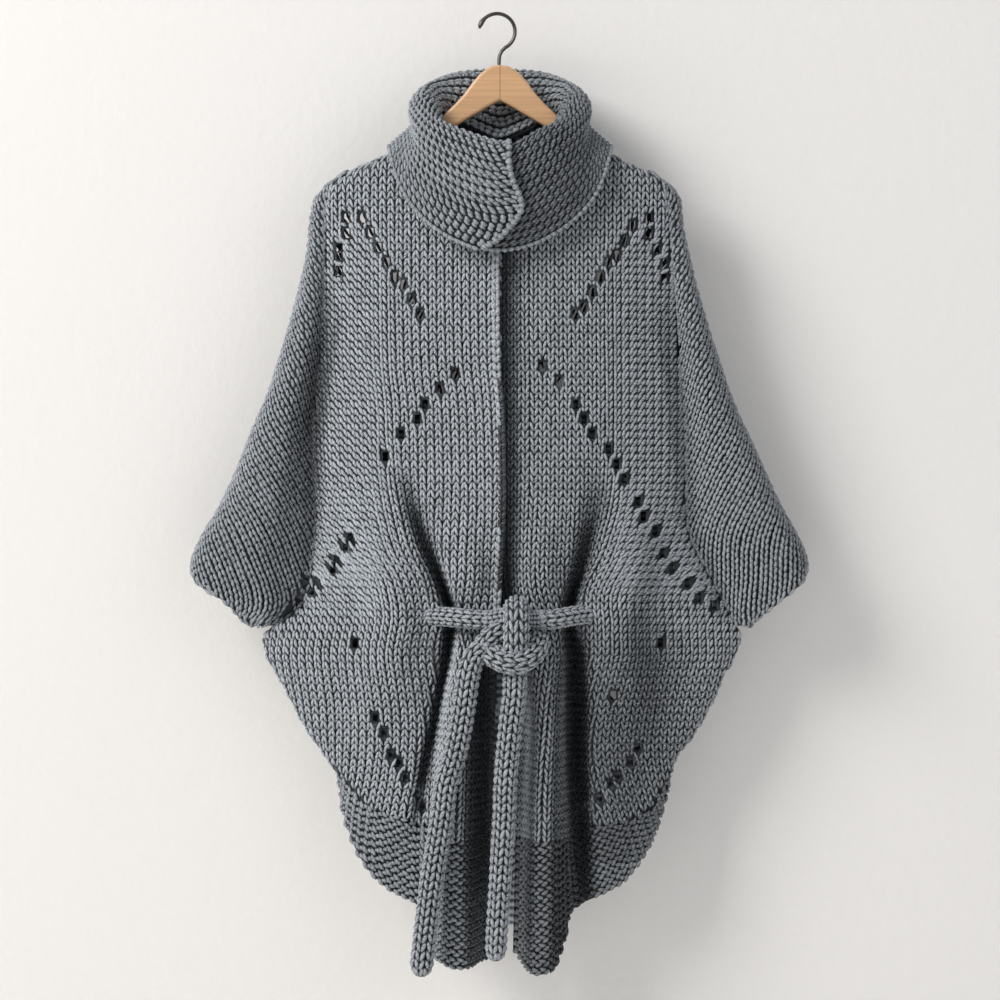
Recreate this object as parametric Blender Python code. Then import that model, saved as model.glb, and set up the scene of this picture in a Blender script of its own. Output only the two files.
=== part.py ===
"""A chunky knitted poncho sweater with a turn-down collar and a tied cord belt, on a wooden hanger.

The origin is the inside of the hook's crest, +Z is up, and the garment's front faces -Y. Left and
right are the wearer's, so the right front is on the -X side. The tables are in millimetres: z is a
height from DATUM_Z, reach is a distance out from the centre line, and depth is a distance forward
of the plane of the hanger (backward, for the back). Every wall is cut from the same few surfaces,
so neighbouring pieces meet at their seams with a gap of SEAM_GAP.
"""

import math

import bmesh
import bpy
from mathutils import Vector

MM = 0.001
CENTRE_X = 3.5
DATUM_Z = -5.0
SEAM_GAP = 0.36

CLOTH_WALL = 6.0
COLLAR_WALL = 7.0
ROUND_WIDTH = 30.0
LAP_STEP_WIDTH = 26.0

BELT_RADIUS = 10.0
TAIL_RADIUS = 13.0
SLIT_CLEARANCE = 1.5

HOOK_WIRE_RADIUS = 2.2
HOOK_BOW_RADIUS = 21.4
WOOD_THICKNESS = 12.5
WOOD_ROUNDING = 3.0

# Each row is (z, reach) or (z, depth), from the top down.
RIGHT = {
    "sign": -1,
    "outline": (
        (-116, 76), (-129, 92), (-145, 109), (-163, 132), (-182, 179), (-200, 206), (-214, 218),
        (-235, 223), (-277, 227), (-327, 238), (-395, 257), (-460, 279), (-479, 288), (-530, 308),
        (-584, 333), (-617, 353), (-650, 365), (-662, 364), (-677, 348), (-695, 324), (-716, 304),
        (-731, 283), (-756, 277), (-783, 261), (-808, 248), (-844, 229), (-880, 203), (-894, 195),
        (-906, 191), (-990, 186),
    ),
    "seam": (
        (-182, 178), (-200, 199), (-235, 205), (-290, 208), (-355, 211), (-453, 220), (-480, 222),
        (-596, 217), (-660, 224), (-693, 234), (-731, 282),
    ),
    "edge": (
        (-199, 1), (-321, 1), (-408, 0), (-467, -5), (-565, -7), (-650, -3), (-705, 0),
        (-760, 5), (-850, 8), (-950, 11), (-1125, 14),
    ),
    "edge_depth": (
        (-199, 36), (-260, 42), (-650, 44), (-705, 42), (-722, 36), (-740, 26), (-780, 12), (-850, 6),
        (-950, 6), (-1125, 9),
    ),
    "flat_reach": -100,
    "dome_power": 4.0,
    "band_top": ((0, -971), (55, -971), (87, -959), (109, -950), (135, -942), (153, -935), (195, -888)),
    "hem": (
        (0, -1112), (14, -1116), (45, -1121), (70, -1114), (86, -1090), (94, -1056), (101, -1047),
        (123, -1037), (146, -1020), (168, -991), (185, -947), (192, -904),
    ),
    "folds": {
        "slit_valley": (
            (-520, 110, 26, 0), (-580, 100, 24, -8), (-630, 84, 20, -14), (-670, 68, 17, -20),
            (-709, 58, 16, -26), (-750, 60, 16, -20), (-820, 72, 16, -12), (-900, 88, 18, -8),
            (-980, 100, 18, 0),
        ),
        "lap_crest": ((-560, 42, 34, 0), (-620, 40, 34, 6), (-665, 38, 32, 11), (-700, 36, 28, 0)),
        "hanging_roll": (
            (-715, 40, 24, 0), (-760, 46, 26, 12), (-820, 48, 28, 24), (-900, 50, 30, 32),
            (-1000, 52, 32, 34), (-1125, 50, 34, 30),
        ),
        "hip_crest": (
            (-560, 150, 50, 0), (-650, 135, 48, 8), (-720, 125, 46, 12), (-800, 140, 50, 8),
            (-900, 150, 50, 0),
        ),
    },
}
LEFT = {
    "sign": 1,
    "outline": (
        (-116, 76), (-129, 92), (-145, 109), (-163, 132), (-182, 175), (-194, 194), (-214, 212),
        (-238, 214), (-293, 225), (-342, 238), (-395, 254), (-461, 277), (-479, 285), (-522, 305),
        (-577, 330), (-619, 353), (-650, 364), (-660, 362), (-674, 353), (-695, 329), (-716, 302),
        (-731, 288), (-760, 277), (-783, 265), (-820, 247), (-853, 228), (-883, 206), (-894, 204),
        (-908, 200), (-990, 192),
    ),
    "seam": (
        (-182, 174), (-200, 192), (-235, 199), (-290, 204), (-350, 210), (-478, 218), (-596, 221),
        (-674, 255), (-731, 287),
    ),
    "edge": (
        (-199, -22), (-650, -22), (-690, -18), (-712, -8), (-760, 14), (-850, 23), (-950, 19),
        (-1125, 15),
    ),
    "edge_depth": (
        (-199, 26), (-260, 32), (-650, 32), (-690, 31), (-705, 27), (-722, 20), (-740, 14), (-850, 6),
        (-950, 6), (-1125, 9),
    ),
    "flat_reach": 12,
    "dome_power": 2.4,
    "band_top": ((0, -971), (79, -971), (104, -956), (127, -956), (152, -950), (176, -937), (204, -888)),
    "hem": (
        (0, -1100), (15, -1106), (40, -1128), (60, -1124), (76, -1090), (84, -1058), (104, -1046),
        (143, -1026), (168, -997), (186, -957), (196, -928), (200, -905),
    ),
    "folds": {
        "slit_valley": (
            (-520, 122, 28, 0), (-580, 112, 26, -6), (-640, 98, 22, -14), (-707, 82, 17, -26),
            (-760, 88, 22, -28), (-850, 88, 24, -28), (-950, 92, 25, -18), (-1030, 98, 22, -8),
            (-1090, 100, 18, 0),
        ),
        "lap_crest": ((-560, 50, 34, 0), (-630, 48, 34, 6), (-675, 46, 30, 8), (-700, 44, 28, 0)),
        "hanging_roll": (
            (-715, 52, 26, 0), (-760, 52, 28, 14), (-820, 52, 30, 26), (-900, 51, 31, 33),
            (-1000, 50, 32, 35), (-1130, 48, 34, 31),
        ),
        "hip_crest": (
            (-560, 160, 50, 0), (-650, 150, 46, 8), (-720, 140, 42, 12), (-800, 150, 46, 8),
            (-900, 160, 50, 0),
        ),
    },
}
FRONT_DEPTH = {
    "body": (
        (-116, 8), (-135, 16), (-155, 25), (-199, 36), (-260, 42), (-350, 42), (-450, 40),
        (-650, 42), (-705, 42), (-800, 36), (-900, 33), (-1000, 30), (-1130, 30),
    ),
    "seam": ((-200, 22), (-300, 16), (-420, 11), (-640, 10), (-731, 8), (-800, 10), (-1130, 14)),
    "sleeve": ((-200, 23), (-300, 30), (-450, 36), (-600, 36), (-700, 26), (-731, 14)),
}
BACK_DEPTH = {
    "body": (
        (-116, 8), (-135, 16), (-155, 24), (-200, 28), (-300, 27), (-500, 26), (-730, 25),
        (-900, 25), (-1085, 27),
    ),
    "seam": ((-200, 20), (-300, 16), (-420, 14), (-640, 14), (-731, 12), (-800, 12), (-1085, 16)),
    "sleeve": ((-200, 21), (-300, 24), (-450, 27), (-600, 27), (-700, 22), (-731, 13)),
}
# Each row is (z, x, half width, rise), and here x is signed.
BACK_FOLDS = {
    "spine_crest": ((-260, 6, 46, 0), (-420, 2, 44, 5), (-640, -4, 42, 7), (-900, 6, 44, 8), (-1085, 8, 46, 8)),
    "right_valley": ((-330, -84, 38, 0), (-520, -80, 36, -5), (-760, -90, 40, -6), (-1060, -92, 44, -7)),
    "left_valley": ((-300, 96, 40, 0), (-600, 88, 38, -6), (-820, 82, 36, -5), (-1060, 90, 40, -7)),
    "right_crest": ((-420, -150, 44, 0), (-640, -146, 44, 5), (-880, -140, 40, 4), (-1000, -136, 40, 0)),
    "left_crest": ((-380, 158, 44, 0), (-560, 150, 44, 4), (-800, 146, 42, 6), (-1000, 140, 40, 0)),
}
BACK_BAND_TOP = ((0, -962), (100, -948), (150, -932), (198, -888))
BACK_HEM = ((0, -1085), (60, -1072), (100, -1042), (146, -1014), (170, -984), (186, -942), (196, -904))

SHOULDER_POINT_Z = -182
SLEEVE_END_Z = -721
UNDERARM_Z = -731
CUFF_TIP_Z = -656
NECK_FRONT_Z = -199
NECK_BACK_Z = -150
BAND_ROWS = 3
BACK_DOME_POWER = 3.0
KNIT_COLOUR = (0.115, 0.13, 0.145)

# Heights of the wall's rows where it meets the shoulder, sleeve seam and side.
SIDE_ROWS = (
    -116, -129, -145, -163, SHOULDER_POINT_Z, -200, -235, -290, -350, -410, -470, -530, -590, -645,
    -690, SLEEVE_END_Z, UNDERARM_Z, -775, -820, -856, -888,
)
SLEEVE_ROWS = SIDE_ROWS[SIDE_ROWS.index(SHOULDER_POINT_Z) : SIDE_ROWS.index(SLEEVE_END_Z) + 1]
FRONT_COLUMNS = (0, 0.05, 0.1, 0.15, 0.2, 0.25, 0.3, 0.36, 0.44, 0.54, 0.66, 0.78, 0.895, 0.95, 0.986, 1)
SLEEVE_COLUMNS = (0, 0.28, 0.56, 0.8, 0.93, 0.985, 1)
BACK_HALF_COLUMNS = (0, 0.1, 0.21, 0.32, 0.44, 0.57, 0.7, 0.82, 0.895, 0.95, 0.986, 1)

# The collar's mid-surface, by the angle from the centre back round to the centre front.
# Columns: angle, crest x, y, z, roll width, fall x, y, z, free edge x, y, z.
COLLAR_SECTIONS = (
    (0, 0, 52, -56, 25, 0, 66, -120, 0, 52, -228),
    (30, 42, 46, -58, 26, 50, 59, -118, 60, 50, -222),
    (60, 76, 26, -72, 29, 88, 33, -120, 112, 41, -190),
    (90, 89, -6, -89, 31, 102, -6, -126, 130, -6, -145),
    (115, 80, -44, -123, 29, 99, -48, -158, 121, -47, -195),
    (145, 50, -68, -141, 26, 73, -72, -188, 89, -56, -240),
    (165, 23, -76, -155, 24, 36, -85, -208, 50, -64, -268),
    (180, 0, -79, -165, 23, 0, -88, -216, 2, -66, -286),
)
COLLAR_TURN = 200
COLLAR_STATIONS = 40
# The lapping end isn't straight: (share of the way from the neckline to the free edge, its angle).
COLLAR_OVER_END = ((0, 192), (0.35, 188), (0.5, 186), (0.75, 191), (0.9, 183), (1, 176))
COLLAR_LAP = 5.0
COLLAR_CLEARANCE = (8.5, 12.0)
COLLAR_CLEAR_STEP = 10.0
COLLAR_LAP_START = 140
COLLAR_AXIS_Y = -10.0
COLLAR_PROFILE_POINTS = 11
COLLAR_SEAT = (4.2, 7.5)

# The cord belt's routes as (x, y, z) rows, chosen by hand.
KNOT_SIZE = (52.0, 50.0, 82.0)
KNOT_CENTRE = (16.0, -79.0, -739.0)
KNOT_BEVEL = 10.0
WAIST_ROUTE = (
    (-10.7, -67, -712), (-20, -67, -712), (-34, -66, -711), (-48, -61, -710), (-62, -50, -709),
    (-76, -39, -709), (-96, -31, -709), (-120, -25, -709), (-138, -16, -709), (-145, -4, -710),
    (-134, 3, -711), (-100, 4, -712), (-50, 4, -712), (0, 4, -712), (60, 4, -712), (118, 4, -711),
    (146, 3, -710), (157, -5, -709), (152, -16, -708), (138, -24, -707), (118, -28, -707),
    (100, -37, -707), (86, -50, -708), (72, -60, -710), (60, -66, -712), (51, -67, -712),
    (42.7, -67, -712),
)
WAIST_SLITS = ((50, 110), (62, 122))
TAIL_RIGHT_ROUTE = (
    (-10.8, -83, -744), (-18, -83, -744), (-27, -84, -749), (-34, -85, -762), (-38, -85, -782),
    (-43, -85, -819), (-52, -84, -867), (-63, -83, -903), (-67, -82, -937), (-80, -82, -1020),
    (-91, -80, -1112), (-92, -80, -1126),
)
TAIL_LEFT_ROUTE = (
    (17, -83, -780.6), (17, -83, -794), (11, -83, -845), (6, -82, -903), (5, -81, -937),
    (0, -81, -1018), (-5, -80, -1098), (-5, -80, -1108),
)

# Half outline of the wood: (reach, top, bottom).
WOOD_STATIONS = (
    (0, -59.5, -102), (9, -60.5, -106.5), (17, -64.5, -111), (25, -71.5, -116), (33, -81, -120.5),
    (43, -94.5, -126.5), (54, -106.5, -133), (66, -117.5, -140), (85, -136.5, -153),
    (105, -154, -169), (133, -174, -189), (160, -187, -202), (177, -195.5, -210), (186, -202, -211),
)
HOOK_TIP_ANGLE = 170
HOOK_BOW_END_ANGLE = -52
HOOK_BOW_STEPS = 22
HOOK_NECK = ((9.5, -38.6), (5.4, -42.6), (3.2, -47.2), (2.5, -52.0), (2.4, -58.6))
HOOK_TIP_SWELL = (0.55, 1.25, 1.45, 1.25)


def lerp(first, last, share):
    """The value a share of the way from first to last."""
    return first + (last - first) * share


def ease(share):
    """0 to 1 with level ends."""
    share = min(max(share, 0.0), 1.0)
    return share * share * (3 - 2 * share)


def through(rows, place, column=1):
    """The value at a place on the smooth curve through a table's rows, with no overshoot."""
    keys = [row[0] for row in rows]
    values = [row[column] for row in rows]
    if keys[0] > keys[-1]:
        keys = [-key for key in keys]
        place = -place
    if place <= keys[0]:
        return values[0]
    if place >= keys[-1]:
        return values[-1]
    slopes = [(values[i + 1] - values[i]) / (keys[i + 1] - keys[i]) for i in range(len(keys) - 1)]
    i = max(k for k in range(len(keys) - 1) if keys[k] <= place)

    def tangent(k):
        """The curve's slope at one of its keys."""
        if k in (0, len(keys) - 1):
            return slopes[min(k, len(slopes) - 1)]
        before, after = slopes[k - 1], slopes[k]
        return 0.0 if before * after <= 0 else 2 * before * after / (before + after)

    span = keys[i + 1] - keys[i]
    t = (place - keys[i]) / span
    return (
        (1 + 2 * t) * (1 - t) ** 2 * values[i]
        + t * (1 - t) ** 2 * span * tangent(i)
        + t * t * (3 - 2 * t) * values[i + 1]
        + t * t * (t - 1) * span * tangent(i + 1)
    )


def smooth_route(rows, step):
    """Points about a step apart on the smooth curve through a route's own points."""
    points = [Vector(row) for row in rows]
    ends = [2 * points[0] - points[1], *points, 2 * points[-1] - points[-2]]
    route = []
    for before, start, end, after in zip(ends, ends[1:], ends[2:], ends[3:]):
        pieces = max(1, round((end - start).length / step))
        for k in range(pieces):
            t = k / pieces
            route.append(
                0.5 * (2 * start + (end - before) * t + (2 * before - 5 * start + 4 * end - after) * t**2
                       + (3 * start - before - 3 * end + after) * t**3)
            )
    return [*route, points[-1]]


def placed(x, y, z):
    """Metres in the part's frame, from the cloth's own millimetres."""
    return Vector(((CENTRE_X + x) * MM, y * MM, (DATUM_Z + z) * MM))


# ---- the cloth's surfaces ----


def fold_rise(folds, x, z):
    """What the folds add to the depth: each is a soft ridge or trough along its own line."""
    rise = 0.0
    for rows in folds.values():
        if rows[-1][0] <= z <= rows[0][0]:
            away = abs(x - through(rows, z)) / through(rows, z, 2)
            if away < 1:
                rise += through(rows, z, 3) * math.cos(away * math.pi / 2) ** 2
    return rise


def cuff_gape(z):
    """How far the cuff stands open: 0 at the sleeve's tip and the underarm, 1 between them."""
    share = (CUFF_TIP_Z - z) / (CUFF_TIP_Z - UNDERARM_Z)
    return math.sin(math.pi * share) ** 0.7 if 0 < share < 1 else 0.0


def panel_reach(side, z):
    """Where a body panel ends: the sleeve's seam beside the arm, or else the outline."""
    return through(side["seam" if UNDERARM_Z <= z <= SHOULDER_POINT_Z else "outline"], z)


def wall_depth(side, table, power, reach, z):
    """(depth, rounding) of a wall: the body's dome, the valley at the sleeve's seam, the sleeve's dome."""
    outline = through(side["outline"], z)
    limit = panel_reach(side, z)
    seam = through(table["seam"], z)
    if reach <= limit:
        depth = lerp(seam, through(table["body"], z), 1 - max(reach / limit, 0.0) ** power)
    else:
        share = (reach - limit) / max(outline - limit, 1e-6)
        depth = lerp(seam, through(table["sleeve"], z), ease(share / 0.55))
    near = min(max((reach - outline) / ROUND_WIDTH + 1, 0.0), 1.0)
    return depth, lerp(math.sqrt(1 - near * near), 1.0, cuff_gape(z))


def side_of(x):
    """The side that a place across the garment lies on."""
    return LEFT if x > 0 else RIGHT


def front_depth(side, reach, z):
    """How far a front stands towards the viewer."""
    depth, rounding = wall_depth(side, FRONT_DEPTH, side["dome_power"], reach, z)
    depth += fold_rise(side["folds"], reach, z)
    flat_end = max(through(side["edge"], z), side["flat_reach"])
    edge_depth = through(side["edge_depth"], z)
    return lerp(edge_depth, depth, ease((reach - flat_end) / LAP_STEP_WIDTH)) * rounding


def back_depth(x, z):
    """How far the back stands away from the viewer."""
    depth, rounding = wall_depth(side_of(x), BACK_DEPTH, BACK_DOME_POWER, abs(x), z)
    return (depth + fold_rise(BACK_FOLDS, x, z)) * rounding


def height_where(line, reach_at):
    """The height at which a column, whose reach depends on its height, crosses a line of (reach, z)."""
    low, high = -1200.0, -600.0
    while high - low > 0.001:
        middle = (low + high) / 2
        if middle < through(line, reach_at(middle)):
            low = middle
        else:
            high = middle
    return low


class Face:
    """The front on one side, or the back: points and normals at a signed x and a height."""

    def __init__(self, forward, side=None):
        """Keeps what the surface needs."""
        self.forward = forward
        self.side = side

    def point(self, x, z):
        """A point on the surface, in metres."""
        if self.forward:
            return placed(x, -front_depth(self.side, x * self.side["sign"], z), z)
        return placed(x, back_depth(x, z), z)

    def normal(self, x, z):
        """On the closed outline the wall turns back, so the normal there lies in the hanging plane."""
        facing = -1 if self.forward else 1
        side = self.side or side_of(x)
        if abs(abs(x) - through(side["outline"], z)) < 0.01:
            spread = through(side["outline"], z - 1) - through(side["outline"], z + 1)
            lateral = Vector((2 * side["sign"], 0, spread)).normalized()
            return lateral.lerp(Vector((0, facing, 0)), cuff_gape(z)).normalized()
        across = self.point(x + 1, z) - self.point(x - 1, z)
        along = self.point(x, z - 1) - self.point(x, z + 1)
        normal = across.cross(along).normalized()
        return normal if normal.y * facing > 0 else -normal

    def grid(self, places):
        """Rows of (point, normal) for rows of (x, z)."""
        return [[(self.point(x, z), self.normal(x, z)) for x, z in row] for row in places]


def drawn_back(grid, meets):
    """A grid whose edges that meet another piece are drawn back by half a seam gap."""
    rows, columns = len(grid), len(grid[0])
    moved = [[point.copy() for point, _ in row] for row in grid]
    edges = {
        "top": [((0, i), (1, i)) for i in range(columns)],
        "bottom": [((rows - 1, i), (rows - 2, i)) for i in range(columns)],
        "first": [((j, 0), (j, 1)) for j in range(rows)],
        "last": [((j, columns - 1), (j, columns - 2)) for j in range(rows)],
    }
    for name in meets:
        for (j, i), (inner_j, inner_i) in edges[name]:
            inward = grid[inner_j][inner_i][0] - grid[j][i][0]
            moved[j][i] += inward.normalized() * SEAM_GAP * MM / 2
    return [[(moved[j][i], grid[j][i][1]) for i in range(columns)] for j in range(rows)]


def panel_places(shares, reach_at, neck_z, band_top, hem):
    """(x, z) of a panel's rows and, from its last row down, of its hem band's rows.

    Rows are even down the centre and follow SIDE_ROWS at the side; reach_at gives x from a share and a height.
    """
    places = [[] for _ in range(len(SIDE_ROWS) + BAND_ROWS)]
    height = SIDE_ROWS[-1] - SIDE_ROWS[0]
    for share in shares:
        out = abs(share)
        top = lerp(neck_z, SIDE_ROWS[0], out)
        band_z = height_where(band_top, lambda z: abs(reach_at(share, z)))
        hem_z = height_where(hem, lambda z: abs(reach_at(share, z)))
        for j, level in enumerate(SIDE_ROWS):
            down = lerp(j / (len(SIDE_ROWS) - 1), (level - SIDE_ROWS[0]) / height, out)
            z = lerp(top, band_z, down)
            places[j].append((reach_at(share, z), z))
        for k in range(1, BAND_ROWS + 1):
            z = lerp(band_z, hem_z, k / BAND_ROWS)
            places[len(SIDE_ROWS) - 1 + k].append((reach_at(share, z), z))
    return places


def sleeve_places(side):
    """The places of a sleeve half, row by row."""
    return [
        [
            (side["sign"] * lerp(panel_reach(side, z), through(side["outline"], z), share), z)
            for share in SLEEVE_COLUMNS
        ]
        for z in SLEEVE_ROWS
    ]


# ---- making objects ----


def material(name, colour, roughness, metallic=0.0):
    """A plain material by name, colour, roughness and metal."""
    finish = bpy.data.materials.new(name)
    finish.use_nodes = True
    shader = finish.node_tree.nodes["Principled BSDF"]
    shader.inputs["Base Color"].default_value = (*colour, 1)
    shader.inputs["Roughness"].default_value = roughness
    shader.inputs["Metallic"].default_value = metallic
    return finish


def knit(name, shade=1.0):
    """A node's own knit material."""
    return material(f"knit_{name}", [shade * level for level in KNIT_COLOUR], 0.9)


def add_object(name, data, finish):
    """Links a new object that holds a mesh."""
    made = bpy.data.objects.new(name, data)
    made.data.materials.append(finish)
    bpy.context.scene.collection.objects.link(made)
    return made


def mesh_object(name, bm, finish):
    """Turns a bmesh into an object with a material."""
    bmesh.ops.recalc_face_normals(bm, faces=bm.faces)
    mesh = bpy.data.meshes.new(name)
    bm.to_mesh(mesh)
    bm.free()
    mesh.shade_smooth()
    return add_object(name, mesh, finish)


def wall_object(name, grid, wall, finish):
    """A closed wall: a grid of (point, normal) moved out and in by half the wall, its rim closed."""
    rows, columns = len(grid), len(grid[0])
    bm = bmesh.new()
    outer, inner = (
        [[bm.verts.new(point + normal * offset) for point, normal in row] for row in grid]
        for offset in (wall * MM / 2, -wall * MM / 2)
    )
    for j in range(rows - 1):
        for i in range(columns - 1):
            for skin in (outer, inner):
                bm.faces.new((skin[j][i], skin[j][i + 1], skin[j + 1][i + 1], skin[j + 1][i]))
    rim = (
        [(0, i) for i in range(columns)]
        + [(j, columns - 1) for j in range(1, rows)]
        + [(rows - 1, i) for i in range(columns - 2, -1, -1)]
        + [(j, 0) for j in range(rows - 2, 0, -1)]
    )
    for here, there in zip(rim, rim[1:] + rim[:1]):
        # The same diagonal on both sides of a seam, so that two rims match.
        (j, i), (next_j, next_i) = sorted((here, there))
        bm.faces.new((outer[j][i], inner[j][i], inner[next_j][next_i]))
        bm.faces.new((outer[j][i], inner[next_j][next_i], outer[next_j][next_i]))
    return mesh_object(name, bm, finish)


def tube_object(name, route, radius, finish, swell=()):
    """A round tube along a route of points in metres: a curve with filled caps."""
    curve = bpy.data.curves.new(name, "CURVE")
    curve.dimensions = "3D"
    curve.bevel_depth = radius * MM
    curve.bevel_resolution = 2
    curve.use_fill_caps = True
    spline = curve.splines.new("POLY")
    spline.points.add(len(route) - 1)
    for point, place in zip(spline.points, route):
        point.co = (*place, 1)
    for point, factor in zip(spline.points, swell):
        point.radius = factor
    return add_object(name, curve, finish)


# ---- the garment ----


def make_fronts():
    """Each front with its hem band, and the front half of its sleeve."""
    for name, side in (("right", RIGHT), ("left", LEFT)):
        def reach_at(share, z):
            """The reach at a share of the row."""
            return side["sign"] * lerp(through(side["edge"], z), panel_reach(side, z), share)

        face = Face(True, side)
        grid = face.grid(
            panel_places(FRONT_COLUMNS, reach_at, NECK_FRONT_Z, side["band_top"], side["hem"])
        )
        panel, band = grid[: len(SIDE_ROWS)], grid[len(SIDE_ROWS) - 1 :]
        front = wall_object(
            f"front_{name}", drawn_back(panel, ("last", "bottom")), CLOTH_WALL, knit(f"front_{name}")
        )
        cut_belt_slit(front, side)
        wall_object(
            f"hem_band_{name}", drawn_back(band, ("last", "top")), CLOTH_WALL, knit(f"band_{name}", 0.9)
        )
        sleeve = drawn_back(face.grid(sleeve_places(side)), ("first", "last"))
        wall_object(f"sleeve_{name}_front", sleeve, CLOTH_WALL, knit(f"sleeve_{name}_front", 1.1))


def make_back():
    """The back with its hem band, and the back halves of the sleeves."""
    def reach_at(share, z):
        """The reach at a share of the row."""
        return share * panel_reach(side_of(share), z)

    face = Face(False)
    shares = [-share for share in BACK_HALF_COLUMNS[:0:-1]] + list(BACK_HALF_COLUMNS)
    grid = face.grid(panel_places(shares, reach_at, NECK_BACK_Z, BACK_BAND_TOP, BACK_HEM))
    panel, band = grid[: len(SIDE_ROWS)], grid[len(SIDE_ROWS) - 1 :]
    wall_object("back", drawn_back(panel, ("first", "last", "bottom")), CLOTH_WALL, knit("back"))
    wall_object("hem_band_back", drawn_back(band, ("first", "last", "top")), CLOTH_WALL, knit("band_back", 0.9))
    for name, side in (("right", RIGHT), ("left", LEFT)):
        sleeve = drawn_back(face.grid(sleeve_places(side)), ("first", "last"))
        wall_object(f"sleeve_{name}_back", sleeve, CLOTH_WALL, knit(f"sleeve_{name}_back", 1.1))


def body_y(side, angle, reach, z):
    """The body's surface behind the collar: the back up to a quarter turn, then the front."""
    if angle < 90:
        return back_depth(reach * side["sign"], z)
    return -front_depth(side, reach, z)


def neckline(side, angle):
    """The neckline's point below the collar, by the angle from the centre back."""
    if angle < 90:
        share, first, middle = angle / 90, 0.0, NECK_BACK_Z
    else:
        first = through(side["edge"], NECK_FRONT_Z)
        hidden = max(first / (first - panel_reach(side, NECK_FRONT_Z)), 0.0)
        share, middle = lerp(hidden, 1, (180 - angle) / 90), NECK_FRONT_Z
    z = lerp(middle, SIDE_ROWS[0], share)
    reach = max(lerp(first, panel_reach(side, z), share), 0.0)
    return Vector((reach, body_y(side, angle, reach, z), z))


def evenly(points, count):
    """A count of points at even distances along a run of points."""
    lengths = [0.0]
    for here, there in zip(points, points[1:]):
        lengths.append(lengths[-1] + (there - here).length)
    spread = []
    for k in range(count):
        place = lengths[-1] * k / (count - 1)
        i = min(max(m for m in range(len(lengths)) if lengths[m] <= place + 1e-9), len(points) - 2)
        share = (place - lengths[i]) / (lengths[i + 1] - lengths[i])
        spread.append(points[i].lerp(points[i + 1], min(share, 1.0)))
    return spread


def collar_profile(station):
    """The collar's section, up from the neckline, over the roll and down to the free edge.

    station is the angle from the centre back, positive round the wearer's right. Past 180 the two ends
    cross the centre front, the right one over the left one.
    """
    over = 1 if station > 0 else -1
    angle = min(abs(station), 360 - abs(station))
    side = RIGHT if (abs(station) <= 180) == (station > 0) else LEFT
    lap = over * COLLAR_LAP * ease((abs(station) - COLLAR_LAP_START) / (180 - COLLAR_LAP_START))
    values = [through(COLLAR_SECTIONS, angle, column) for column in range(1, 11)]
    crest, width, fall, edge = Vector(values[0:3]), values[3], Vector(values[4:7]), Vector(values[7:10])
    turned = math.sin(math.radians(angle))
    clearance = COLLAR_CLEARANCE[0] + COLLAR_CLEARANCE[1] * turned**2
    body = body_y(side, angle, edge.x - COLLAR_CLEAR_STEP, edge.z)
    if angle == 90:
        edge.y = 0.0
    else:
        edge.y = max(edge.y, body + clearance) if angle < 90 else min(edge.y, body - clearance)
    out = Vector((crest.x, crest.y - COLLAR_AXIS_Y, 0)).normalized()
    seat = COLLAR_SEAT[0] + COLLAR_SEAT[1] * turned
    base = neckline(side, angle) + Vector((0, 0, seat)) - out * lap
    drop = Vector((0, 0, -0.45 * width))
    inside = crest + drop - out * (width / 2 + lap)
    outside = crest + drop + out * (width / 2 + lap)
    top = crest + Vector((0, 0, lap))
    controls = [base, base.lerp(inside, 0.55), inside, top, outside, fall + out * lap, edge + out * lap]
    for point in controls:
        point.x *= side["sign"]
    return evenly(smooth_route(controls, 3.0), COLLAR_PROFILE_POINTS)


def make_collar():
    """One long sheet, folded over at its rim and lapped at the centre front."""
    rows = []
    for k in range(COLLAR_STATIONS + 1):
        station = lerp(-COLLAR_TURN, COLLAR_TURN, k / COLLAR_STATIONS)
        row = collar_profile(station)
        if station > COLLAR_LAP_START:
            along = (station - COLLAR_LAP_START) / (COLLAR_TURN - COLLAR_LAP_START)
            ends = [through(COLLAR_OVER_END, i / (len(row) - 1)) for i in range(len(row))]
            row = [collar_profile(lerp(COLLAR_LAP_START, end, along))[i] for i, end in enumerate(ends)]
        rows.append([placed(*point) for point in row])
    grid = []
    for j, row in enumerate(rows):
        before, after = rows[max(j - 1, 0)], rows[min(j + 1, len(rows) - 1)]
        normals = [
            (after[i] - before[i]).cross(row[min(i + 1, len(row) - 1)] - row[max(i - 1, 0)]).normalized()
            for i in range(len(row))
        ]
        grid.append(list(zip(row, normals)))
    wall_object("collar", grid, COLLAR_WALL, knit("collar", 0.95))


# ---- the belt ----


def route_in_metres(rows, step):
    """A smooth route in metres."""
    return [placed(*point) for point in smooth_route(rows, step)]


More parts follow.
